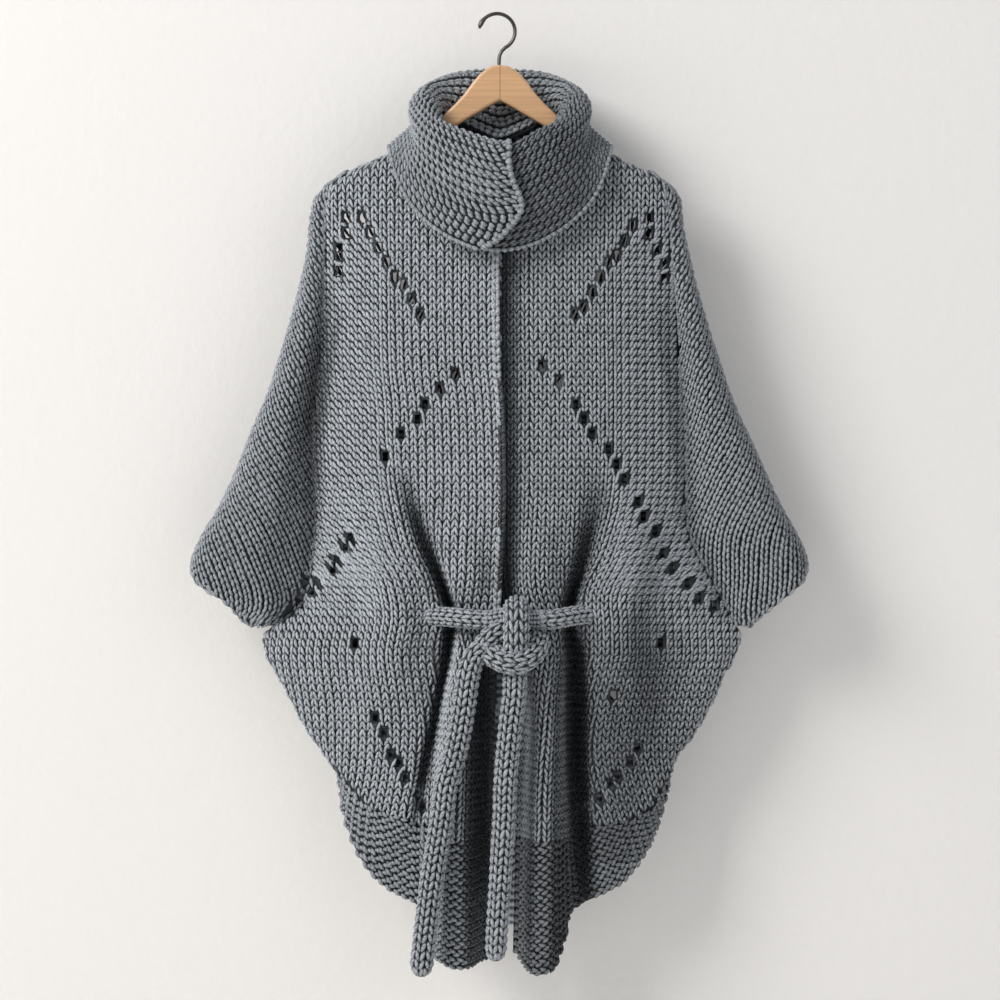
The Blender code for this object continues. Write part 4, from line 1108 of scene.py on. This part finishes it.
def make_panels(finish: YarnFinish) -> None:
    """Knits both fronts, the back, the four sleeve halves and the three hem bands."""
    fronts: list[KnitPiece] = []
    for key, name in ((-1, "right"), (1, "left")):
        side = SIDES[key]
        face = Face(True, side)
        back = Face(False, side)

        edge, limit = on_side(key, side.edge.at), on_side(key, side.panel_reach)
        outer = on_side(key, side.outline.at)
        # The left front and the left hem band are darker than the right ones: painted shade on the side away
        # from the light.
        front = KnitPiece(
            f"front_{name}", face, edge, limit, front_neck, lower(side.band_top), (-116, -985),
            (0.30, 0.86), 0.215,
            ("hanger_body",), edged=name == "right", tone_and_shade=1.0 if name == "right" else 0.84,
        )
        front.build(finish)
        fronts.append(front)
        KnitPiece(
            f"hem_band_{name}", face, edge, outer, upper(side.band_top), lower(side.hem), (-886, -1130),
            (0.30, 0.16), 0.03, ("hanger_body",), Stitch.GARTER, tone_and_shade=0.74 if name == "right" else 0.5,
        ).build(finish)
        for forward, half in ((True, "front"), (False, "back")):
            KnitPiece(
                f"sleeve_{name}_{half}", face if forward else back, limit, outer,
                level(SHOULDER_POINT_Z), level(SLEEVE_END_Z),
                (SHOULDER_POINT_Z, SLEEVE_END_Z), (0.16, 0.56), 0.05, ("hanger_body",), slant=30.0,
                around=5 if forward else 3, tone_and_shade=0.74,
                eyelets=FRONT_EYELETS if forward else seen_behind([front]), cell=5.5 if forward else 7.0,
            ).build(finish)

    band_top = Curve(BACK_BAND_TOP)
    KnitPiece(
        "back", Face(False, SIDES[1]), on_side(-1, SIDES[-1].panel_reach), on_side(1, SIDES[1].panel_reach),
        back_neck, lower(band_top),
        (-116, -970), (0.50, 0.86), 0.40, ("hanger_body",), around=3, eyelets=seen_behind(fronts), cell=7.0,
        eyelet_scale=1.5,
    ).build(finish)
    KnitPiece(
        "hem_band_back", Face(False, SIDES[1]), on_side(-1, SIDES[-1].outline.at),
        on_side(1, SIDES[1].outline.at), upper(band_top), lower(Curve(BACK_HEM)),
        (-886, -1090), (0.42, 0.13), 0.045, ("hanger_body",), Stitch.GARTER, around=4, cell=9.0, tone_and_shade=0.92,
    ).build(finish)


def body_y(side: Side, angle: float, reach: float, z: float) -> float:
    """The body's surface behind the collar: the back up to a quarter turn, then the front."""
    if angle < 90:
        return float(back_depth(reach * side.sign, z))
    return -float(front_depth(side, reach, z))


def smooth_route(rows: Array, step: float) -> Array:
    """Points about a step apart on the smooth curve through a route's own points."""
    points = np.asarray(rows, float)
    ends = np.concatenate([[2 * points[0] - points[1]], points, [2 * points[-1] - points[-2]]])
    route = []
    for before, start, end, after in zip(ends, ends[1:], ends[2:], ends[3:]):
        pieces = max(1, round(float(np.linalg.norm(end - start)) / step))
        t = (np.arange(pieces) / pieces)[:, None]
        route.append(
            0.5 * (2 * start + (end - before) * t + (2 * before - 5 * start + 4 * end - after) * t**2
                   + (3 * start - before - 3 * end + after) * t**3)
        )
    return np.concatenate([*route, points[-1:]])


@dataclass
class Collar:
    """The long strip, folded over at its rim and lapped at the centre front."""

    stations: int = 200
    steps: int = 60
    ridge: float = 4.5
    cell: int = 2
    wall: float = 4.5

    def neckline(self, side: Side, angle: float) -> Array:
        """The neckline's point below the collar, by the angle from the centre back."""
        if angle < 90:
            share, first, middle = angle / 90, 0.0, NECK_BACK_Z
        else:
            first = float(side.edge.at(NECK_FRONT_Z))
            hidden = max(first / (first - float(side.panel_reach(np.float64(NECK_FRONT_Z)))), 0.0)
            share, middle = lerp(hidden, 1, (180 - angle) / 90), NECK_FRONT_Z
        z = lerp(middle, NECK_SIDE_Z, share)
        reach = max(float(lerp(first, float(side.panel_reach(np.float64(z))), share)), 0.0)
        return np.array([reach, body_y(side, angle, reach, z), z])

    def profile(self, station: float) -> Array:
        """The strip's section in millimetres, up from the neckline and down to the free edge."""
        over = 1 if station > 0 else -1
        angle = min(abs(station), 360 - abs(station))
        side = SIDES[-1] if (abs(station) <= 180) == (station > 0) else SIDES[1]
        start = COLLAR_LAP_START
        lap = over * COLLAR_LAP * float(ease((abs(station) - start) / (180 - start)))
        values = [float(curve.at(angle)) for curve in self.curves]
        crest, width = np.array(values[:3]), values[3]
        fall, edge = np.array(values[4:7]), np.array(values[7:])
        turned = math.sin(math.radians(angle))
        clearance = COLLAR_CLEARANCE[0] + COLLAR_CLEARANCE[1] * turned**2
        body = body_y(side, angle, edge[0] - COLLAR_CLEAR_STEP, edge[2])
        if abs(angle - 90) < 1e-6:
            edge[1] = 0.0
        else:
            edge[1] = max(edge[1], body + clearance) if angle < 90 else min(edge[1], body - clearance)
        out = unit(np.array([crest[0], crest[1] - COLLAR_AXIS_Y, 0.0]))
        seat = COLLAR_SEAT[0] + COLLAR_SEAT[1] * turned
        base = self.neckline(side, angle) + np.array([0, 0, seat]) - out * lap
        drop = np.array([0, 0, -0.45 * width])
        inside = crest + drop - out * (width / 2 + lap)
        outside = crest + drop + out * (width / 2 + lap)
        controls = np.array([
            base, lerp(base, inside, 0.55), inside, crest + np.array([0, 0, lap]), outside,
            fall + out * lap, edge + out * lap,
        ])
        controls[:, 0] *= side.sign
        return even_points(smooth_route(controls, 3.0), self.steps + 1)

    def surface(self) -> Array:
        """The strip's middle in metres, by station and step."""
        self.curves = [Curve(COLLAR_SECTIONS, column) for column in range(1, 11)]
        over_end = Curve(COLLAR_OVER_END)
        shares = np.linspace(0, 1, self.steps + 1)
        ends = over_end.at(shares)
        fine = np.linspace(-COLLAR_TURN, COLLAR_TURN, self.stations * 2 + 1)
        profiles = np.stack([self.profile(station) for station in fine])
        rows = []
        for station in np.linspace(-COLLAR_TURN, COLLAR_TURN, self.stations + 1):
            angles = np.full(self.steps + 1, station)
            if station > COLLAR_LAP_START:
                along = (station - COLLAR_LAP_START) / (COLLAR_TURN - COLLAR_LAP_START)
                angles = lerp(COLLAR_LAP_START, ends, along)
            place = (angles + COLLAR_TURN) / (2 * COLLAR_TURN) * (len(fine) - 1)
            j = np.clip(place.astype(int), 0, len(fine) - 2)
            step = np.arange(self.steps + 1)
            rows.append(lerp(profiles[j, step], profiles[j + 1, step], (place - j)[:, None]))
        grid = np.stack(rows)
        padded = np.concatenate([np.repeat(grid[:1], 7, axis=0), grid, np.repeat(grid[-1:], 7, axis=0)])
        evened = np.mean([padded[k: k + len(grid)] for k in range(15)], axis=0)
        grid = lerp(grid, evened, (shares**1.5)[None, :, None] * 0.9)
        return placed(grid[..., 0], grid[..., 1], grid[..., 2])

    def build(self, finish: YarnFinish) -> None:
        """Makes the strip and its rows of bumps."""
        grid = self.surface()
        across = np.gradient(grid, axis=0)
        along = np.gradient(grid, axis=1)
        normal = unit(np.cross(along, across))
        centre = placed(0.0, COLLAR_AXIS_Y, -80.0)
        fall = grid[:, -8] - centre
        fall[:, 2] = 0
        if float((normal[:, -8] * fall).sum()) < 0:
            normal = -normal
        cloth_yarn = Yarn()
        cloth_yarn.sheet(grid[:: self.cell, :: self.cell], shade=0.7)
        cloth = cloth_yarn.mesh("collar_cloth")
        # Painted shade and light: the strip's cloth is near black for the shade between its bumps, and its
        # other face is brightened 1.5 times for the shade inside the collar.
        cloth.data.materials.append(finish.material("collar_shade", 0.3))
        cloth.data.materials.append(finish.material("collar_inside", 1.5, inside=True))
        polygon = cloth.data.polygons[len(cloth.data.polygons) // 2]
        centre_point = np.array(polygon.center)
        nearest = np.unravel_index(np.argmin(((grid - centre_point) ** 2).sum(axis=-1)), grid.shape[:2])
        if float(np.dot(np.array(polygon.normal), normal[nearest])) < 0:
            cloth.data.flip_normals()
        wall = cloth.modifiers.new("wall", "SOLIDIFY")
        wall.thickness = self.wall * MM
        wall.offset = 0.0
        wall.material_offset = 1
        yarn = Yarn()
        self.rows(yarn, grid, normal)
        stitches = yarn.mesh("collar_stitches")
        stitches.data.materials.append(finish.material("collar_wool", 0.72))
        for piece in (cloth, stitches):
            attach(piece, "root")
        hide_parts("collar")

    def rows(self, yarn: Yarn, grid: Array, normal: Array) -> None:
        """Rows of bumps along the strip, on the side that shows."""
        profile_run = np.linalg.norm(np.diff(grid, axis=1), axis=-1).sum(axis=1).mean() / MM
        ridges = int(profile_run / self.ridge)
        for k in range(1, ridges + 1):
            step = min((k / ridges) * self.steps, self.steps - 1e-6)
            j = int(step)
            line = lerp(grid[:, j], grid[:, j + 1], step - j)
            facing = unit(lerp(normal[:, j], normal[:, j + 1], step - j))
            run = run_along(line) / MM
            count = int(run[-1] / GARTER_WIDTH)
            middle = (np.arange(count) + 0.5 + 0.37 * (k % 3)) * run[-1] / count
            middle = middle[middle < run[-1] - 3.5]
            drift = RANDOM.normal(0, 0.35, (2, len(middle)))

            def sample(place: Array, values: Array, run: Array = run) -> Array:
                """Values at distances along the row."""
                return np.stack([np.interp(place, run, values[:, m]) for m in range(3)], axis=-1)

            start = sample(middle - GARTER_WIDTH * 0.60 + drift[0], line)
            end = sample(middle + GARTER_WIDTH * 0.60 + drift[1], line)
            out = unit(sample(middle, facing))
            odd = k % 2
            ahead = min((k + 1) / ridges * self.steps, self.steps - 1e-6)
            near = lerp(grid[:, int(ahead)], grid[:, int(ahead) + 1], ahead - int(ahead))
            apart = np.interp(middle, run, np.linalg.norm(near - line, axis=-1)) / MM
            station = np.interp(middle, run, np.linspace(-COLLAR_TURN, COLLAR_TURN, len(run)))
            tilt = unit(sample(middle, near - line)) * (np.clip(station / 50, -1, 1) * 2.6 * MM)[:, None]
            # Painted shadow: bumps on the part of the strip under the lap, at stations below -40, lose up to
            # 38% of their light.
            yarn.bumps(
                start - tilt + out * 1.4 * MM, end + tilt + out * 1.4 * MM, out,
                np.clip(apart * 0.98, 4.0, 7.8), 5.4, 2.2 if odd else 1.5, RANDOM.random(len(middle)), 5,
                0.9 if odd else -0.9, 1 - 0.38 * ease((-station - 40) / 100),
            )
        self.edge(yarn, grid[-1, 14:], unit(normal[-1, 14:]), 8.6)
        self.edge(yarn, grid[:, -1], unit(normal[:, -1]), 6.0)

    def edge(self, yarn: Yarn, line: Array, normal: Array, width: float) -> None:
        """A chain of plump bumps along an edge of the strip."""
        run = run_along(line) / MM
        middle = np.arange(5.0, run[-1] - 3, 7.6)

        def sample(place: Array, values: Array) -> Array:
            """Values at distances along the edge."""
            return np.stack([np.interp(place, run, values[:, m]) for m in range(3)], axis=-1)

        out = unit(sample(middle, normal))
        drift = RANDOM.normal(0, 0.5, (2, len(middle)))
        start, end = sample(middle - 5.6 + drift[0], line), sample(middle + 5.6 + drift[1], line)
        yarn.bumps(
            start + out * MM, end + out * 2.2 * MM, out, width, 6.6, 2.0, RANDOM.random(len(middle)), 5, 1.2
        )


@dataclass
class Cord:
    """A knitted cord: a tube whose V stitches run along it in columns."""

    name: str
    route: tuple
    radius: float
    columns: int
    turn: float = 0.0
    taper: tuple[float, float] = (1.0, 1.0)
    closed_ends: tuple[bool, bool] = (True, True)
    stitch: float = 10.4

    def frames(self, step: float) -> tuple[Array, Array, Array, Array]:
        """Points along the route with two steady unit vectors across it.

        Args:
            step: The distance between points in millimetres.

        Returns:
            Points in metres, aside vectors, up vectors and radii in metres.
        """
        rough = smooth_route(np.array(self.route, float), 2.0)
        run = np.linalg.norm(np.diff(rough, axis=0), axis=1).sum()
        points = even_points(rough, max(6, round(run / step) + 1))
        ahead = unit(np.gradient(points, axis=0))
        aside = np.zeros_like(points)
        seed = np.array([1.0, 0, 0]) if abs(ahead[0][0]) < 0.8 else np.array([0, 0, 1.0])
        aside[0] = unit(np.cross(ahead[0], seed))
        for k in range(1, len(points)):
            carried = aside[k - 1] - ahead[k] * np.dot(aside[k - 1], ahead[k])
            aside[k] = unit(carried)
        up = np.cross(aside, ahead)
        share = np.linspace(0, 1, len(points))
        radii = self.radius * MM * lerp(self.taper[0], self.taper[1], share)
        metres = placed(points[:, 0], points[:, 1], points[:, 2])
        return metres, aside, up, radii

    def tube(self, yarn: Yarn, inner: float = 0.86) -> list:
        """Adds the plain tube, dark as painted shade between the stitches, and returns its path's points in
        metres.
        """
        points, aside, up, radii = self.frames(6.0)
        ends = np.ones(len(points))
        rounding = (0.35, 0.75, 0.93)
        if self.closed_ends[0]:
            ends[:3] = rounding
        if self.closed_ends[1]:
            ends[-3:] = rounding[::-1]
        angles = math.tau * np.arange(16) / 16
        ring = aside[:, None] * np.cos(angles)[None, :, None] + up[:, None] * np.sin(angles)[None, :, None]
        grid = points[:, None] + ring * (radii * ends * inner)[:, None, None]
        first = yarn.count
        yarn.sheet(grid, shade=0.2, closed=True)
        here = np.arange(16)
        there = (here + 1) % 16
        for row, middle, flip in ((0, points[0], False), (len(points) - 1, points[-1], True)):
            base = first + row * 16
            tip = np.array([middle])
            fan = np.stack([np.full(16, yarn.count), base + here, base + there], axis=-1)
            if flip:
                fan = fan[:, [0, 2, 1]]
            yarn.add(tip, np.zeros((1, 2)), np.array([0.2]), np.zeros((0, 4), int), fan - yarn.count)
        return [tuple(float(v) for v in point) for point in points]

    def stitches(self, yarn: Yarn) -> None:
        """Adds the columns of V stitches round the cord."""
        points, aside, up, radii = self.frames(self.stitch)
        run = len(points) - 1
        width = math.tau * self.radius * (self.taper[0] + self.taper[1]) / 2 / self.columns

        def at(step: Array, angle: Array, lift: float) -> tuple[Array, Array]:
            """Points and outward normals on the cord."""
            step = np.clip(step, 0, run - 1e-6)
            j = step.astype(int)
            t = (step - j)[:, None]
            centre = lerp(points[j], points[j + 1], t)
            side, top = unit(lerp(aside[j], aside[j + 1], t)), unit(lerp(up[j], up[j + 1], t))
            normal = side * np.cos(angle)[:, None] + top * np.sin(angle)[:, None]
            radius = lerp(radii[j], radii[j + 1], t[:, 0])
            near_end = np.ones(len(step))
            if self.closed_ends[0]:
                near_end *= np.clip(0.45 + 0.6 * step, 0, 1)
            if self.closed_ends[1]:
                near_end *= np.clip(0.45 + 0.6 * (run - step), 0, 1)
            return centre + normal * (radius * near_end * 0.86 + lift * MM)[:, None], normal

        i, j = np.meshgrid(np.arange(self.columns), np.arange(run))
        angle = (math.tau * (i.ravel() + 0.5) / self.columns) + self.turn
        step = j.ravel() + 0.5
        pitch = math.tau / self.columns
        for arm in (-1, 1):
            noise = RANDOM.normal(0, 0.03, (2, len(step)))
            start, _ = at(step - 0.66 + noise[0], angle + arm * pitch * 0.44, 0.3)
            end, _ = at(step + 0.68 + noise[1], angle + arm * pitch * 0.06, 0.0)
            _, normal = at(step, angle + arm * pitch * 0.25, 0.0)
            yarn.bumps(
                start, end, normal, min(width * 0.52, 5.0), 4.6, 1.5, RANDOM.random(len(step)), 5, arm * 0.3
            )

    def build(
        self, finish: YarnFinish, replaced: str | None
    ) -> tuple[bpy.types.Object, bpy.types.Object, list]:
        """Makes the tube and its stitches, and hides the solid they stand for."""
        core_yarn, yarn = Yarn(), Yarn()
        path = self.tube(core_yarn)
        core = core_yarn.mesh(f"{self.name}_core")
        # The core is darkened further, as painted shade between the stitches.
        core.data.materials.append(finish.material(f"{self.name}_shade", 0.8))
        self.stitches(yarn)
        stitches = yarn.mesh(f"{self.name}_stitches")
        stitches.data.materials.append(finish.material(f"{self.name}_wool", 0.84))
        for piece in (core, stitches):
            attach(piece, "root")
        if replaced:
            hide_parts(replaced)
        return core, stitches, path


@dataclass
class Belt:
    """The cord belt: out of both slits, knotted at the centre front, with two hanging ends."""

    lower_wrap: tuple = (
        (-13, -70, -742), (-11, -84, -749), (0, -96, -757), (16, -101, -761), (31, -97, -756),
        (42, -86, -745), (44, -72, -733),
    )
    upright_wrap: tuple = (
        (19, -64, -698), (19, -78, -699), (19, -92, -705), (19, -98, -718), (19, -97, -736), (19, -86, -752),
    )
    link: tuple = ((22, -76, -722), (6, -80, -722), (-6, -82, -728), (-15, -83, -737), (-21, -83.5, -745))
    left_end: tuple = ((-18, -67, -712), (-8, -69, -712), (2, -72, -709), (14, -76, -708))
    right_end: tuple = ((50, -67, -712), (38, -69, -712), (26, -73, -712))
    core: tuple = ((14, -72, -730), (16, -78, -745), (17, -82, -768), (17, -83, -786))

    def build(self, finish: YarnFinish) -> None:
        """Makes the waist cord, the hanging ends and the knot."""
        for name, route, taper in (
            ("belt_tail_right", TAIL_RIGHT_ROUTE, (0.98, 0.98)),
            ("belt_tail_left", TAIL_LEFT_ROUTE, (1.0, 0.86)),
        ):
            tail = Cord(name, route, TAIL_RADIUS, 6, turn=0.2, taper=taper, closed_ends=(False, True))
            core, stitches, path = tail.build(finish, name)
            length = sum(math.dist(a, b) for a, b in zip(path, path[1:]))
            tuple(path[0])
        waist = Cord("belt_waist", WAIST_ROUTE, BELT_RADIUS, 6, turn=0.5, closed_ends=(False, False))
        waist.build(finish, "belt_waist")
        for part, route, radius, columns, turn in (
            ("left_end", self.left_end, BELT_RADIUS, 6, 0.5),
            ("right_end", self.right_end, BELT_RADIUS, 6, 0.5),
            ("link", self.link, 12.5, 6, 0.2),
            ("core", self.core, 12.8, 6, 0.2),
            ("lower", self.lower_wrap, 13.2, 7, 0.3),
            ("upright", self.upright_wrap, 14.5, 7, 0.2),
        ):
            wrap = Cord(f"knot_{part}", route, radius, columns, turn=turn, closed_ends=(False, False))
            wrap.build(finish, "belt_knot" if part == "upright" else None)


@dataclass
class Hanger:
    """The wooden hanger and its wire hook, dressed where they hang."""

    wood_light: tuple[float, float, float] = (0.79, 0.475, 0.255)
    wood_dark: tuple[float, float, float] = (0.66, 0.39, 0.20)
    wire: tuple[float, float, float] = (0.045, 0.042, 0.040)
    grain_turn: float = 0.82

    def wood(self) -> bpy.types.Material:
        """Tan wood whose grain runs down each arm and meets in a joint at the middle."""
        shading = Shading("hanger_wood", {"Roughness": 0.42, "Coat Weight": 0.25, "Coat Roughness": 0.3})
        place = shading.node("ShaderNodeTexCoord").outputs["Object"]
        split = shading.node("ShaderNodeSeparateXYZ", {0: place}).outputs
        reach = shading.value("ABSOLUTE", shading.value("SUBTRACT", split["X"], CENTRE_X * MM), 0.0)
        join = shading.node("ShaderNodeCombineXYZ", {"X": reach, "Y": split["Y"], "Z": split["Z"]})
        turned = shading.node("ShaderNodeMapping", {
            "Vector": join.outputs[0], "Rotation": (0, -self.grain_turn, 0), "Scale": (5.0, 40.0, 190.0),
        })
        grain = shading.noise(2.4, 6.0, turned.outputs[0], distortion=0.15)
        tan = shading.ramp(grain, ((0.34, self.wood_dark), (0.66, self.wood_light)))
        mix = shading.node("ShaderNodeMix")
        mix.data_type = "RGBA"
        seam = shading.value("LESS_THAN", reach, 0.0004)
        shading.fill(mix, {0: seam, 6: tan, 7: (0.28, 0.13, 0.05, 1)})
        shading.fill(shading.surface, {"Base Color": mix.outputs[2]})
        shading.relief(grain, 0.12, 0.0004)
        return shading.material

    def steel(self) -> bpy.types.Material:
        """Dark bronzed wire with faint wear."""
        shading = Shading("hook_steel", {"Metallic": 0.85})
        wear = shading.noise(240.0, 4.0, shading.node("ShaderNodeTexCoord").outputs["Object"])
        worn = tuple(channel * 2.6 for channel in self.wire)
        shine = shading.node("ShaderNodeMapRange", {"Value": wear, "To Min": 0.28, "To Max": 0.5})
        shading.fill(shading.surface, {
            "Base Color": shading.ramp(wear, ((0.0, self.wire), (1.0, worn))), "Roughness": shine.outputs[0],
        })
        return shading.material

    def build(self) -> None:
        """Dresses the hanger's own solids."""
        for node, finish in (("hanger_body", self.wood()), ("hanger_hook", self.steel())):
            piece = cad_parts[node]
            piece.data.materials.clear()
            piece.data.materials.append(finish)
            log.info("%s: dressed in %s", node, finish.name)


@dataclass
class Studio:
    """The camera, the pale wall and floor, and soft light from the upper left."""

    distance: float = 3.4
    plane_y: float = -0.03
    centre: tuple[float, float] = (0.0035, -0.577)
    lens: float = 103.7
    wall_y: float = 0.085
    floor_z: float = -1.55
    wall_colour: tuple[float, float, float] = (0.845, 0.83, 0.81)

    def camera(self) -> None:
        """A level camera that looks along +Y."""
        data = bpy.data.cameras.new("camera")
        data.lens, data.sensor_width = self.lens, 36.0
        data.clip_end = 50.0
        camera = bpy.data.objects.new("camera", data)
        camera.location = (self.centre[0], self.plane_y - self.distance, self.centre[1])
        camera.rotation_euler = (math.radians(90), 0, 0)
        bpy.context.scene.collection.objects.link(camera)
        bpy.context.scene.camera = camera

    def plaster(self, name: str) -> bpy.types.Material:
        """Off-white plaster with a faint trowelled grain and a faint painted glow, seen from its front only.
        """
        colour = (*self.wall_colour, 1)
        # The plaster glows faintly in its own colour: painted light that brightens the wall and the floor.
        shading = Shading(name, {
            "Roughness": 0.9, "Specular IOR Level": 0.15, "Base Color": colour, "Emission Color": colour,
            "Emission Strength": 0.07,
        })
        grain = shading.noise(90.0, 7.0, shading.node("ShaderNodeTexCoord").outputs["Object"])
        shading.relief(grain, 0.35, 0.0022)
        mix = shading.node("ShaderNodeMixShader", {
            0: shading.node("ShaderNodeNewGeometry").outputs["Backfacing"],
            1: shading.surface.outputs[0],
            2: shading.node("ShaderNodeBsdfTransparent").outputs[0],
        })
        shading.fill(shading.tree.nodes["Material Output"], {"Surface": mix.outputs[0]})
        return shading.material

    def backdrop(self) -> None:
        """A floor, and a wall that only shows from its front."""
        bpy.ops.object.select_all(action="DESELECT")
        bpy.ops.mesh.primitive_plane_add(size=14, location=(0, 0, self.floor_z))
        floor = bpy.context.object
        floor.name = "floor"
        bpy.ops.mesh.primitive_plane_add(
            size=7, location=(0, self.wall_y, self.centre[1]), rotation=(math.radians(90), 0, 0)
        )
        wall = bpy.context.object
        wall.name = "wall"
        bpy.ops.object.select_all(action="DESELECT")
        for piece in (floor, wall):
            piece.data.materials.append(self.plaster(f"{piece.name}_plaster"))

    def light(self, name: str, place: tuple, aim: tuple, size: float, power: float, tint: tuple) -> None:
        """An area light that faces a point."""
        data = bpy.data.lights.new(name, "AREA")
        data.shape, data.size = "SQUARE", size
        data.energy, data.color = power, tint
        lamp = bpy.data.objects.new(name, data)
        toward = np.array(aim, float) - np.array(place, float)
        lamp.location = place
        flat = math.hypot(toward[0], toward[1])
        lamp.rotation_euler = (math.atan2(flat, -toward[2]), 0, math.atan2(-toward[0], toward[1]))
        bpy.context.scene.collection.objects.link(lamp)

    def build(self) -> None:
        """Sets everything up."""
        self.camera()
        self.backdrop()
        middle = (0.0, 0.0, -0.6)
        self.light("key", (-3.3, -2.7, 2.1), middle, 2.3, 192.0, (1.0, 0.985, 0.96))
        self.light("fill", (2.4, -3.0, 0.2), middle, 2.6, 14.0, (0.96, 0.98, 1.0))
        self.light("behind", (0.6, 2.6, 1.4), middle, 2.0, 30.0, (1.0, 1.0, 1.0))
        world = bpy.data.worlds.new("studio")
        world.use_nodes = True
        world.node_tree.nodes["Background"].inputs["Color"].default_value = (0.93, 0.95, 1.0, 1)
        world.node_tree.nodes["Background"].inputs["Strength"].default_value = 0.30
        bpy.context.scene.world = world
        bpy.context.scene.view_settings.view_transform = "Standard"


def main() -> None:
    """Builds every piece in order."""
    logging.basicConfig(level=logging.INFO, format="%(message)s")
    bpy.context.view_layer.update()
    finish = YarnFinish()
    Studio().build()
    Belt().build(finish)
    make_panels(finish)
    Collar().build(finish)
    Hanger().build()


if __name__ == "__main__":
    main()
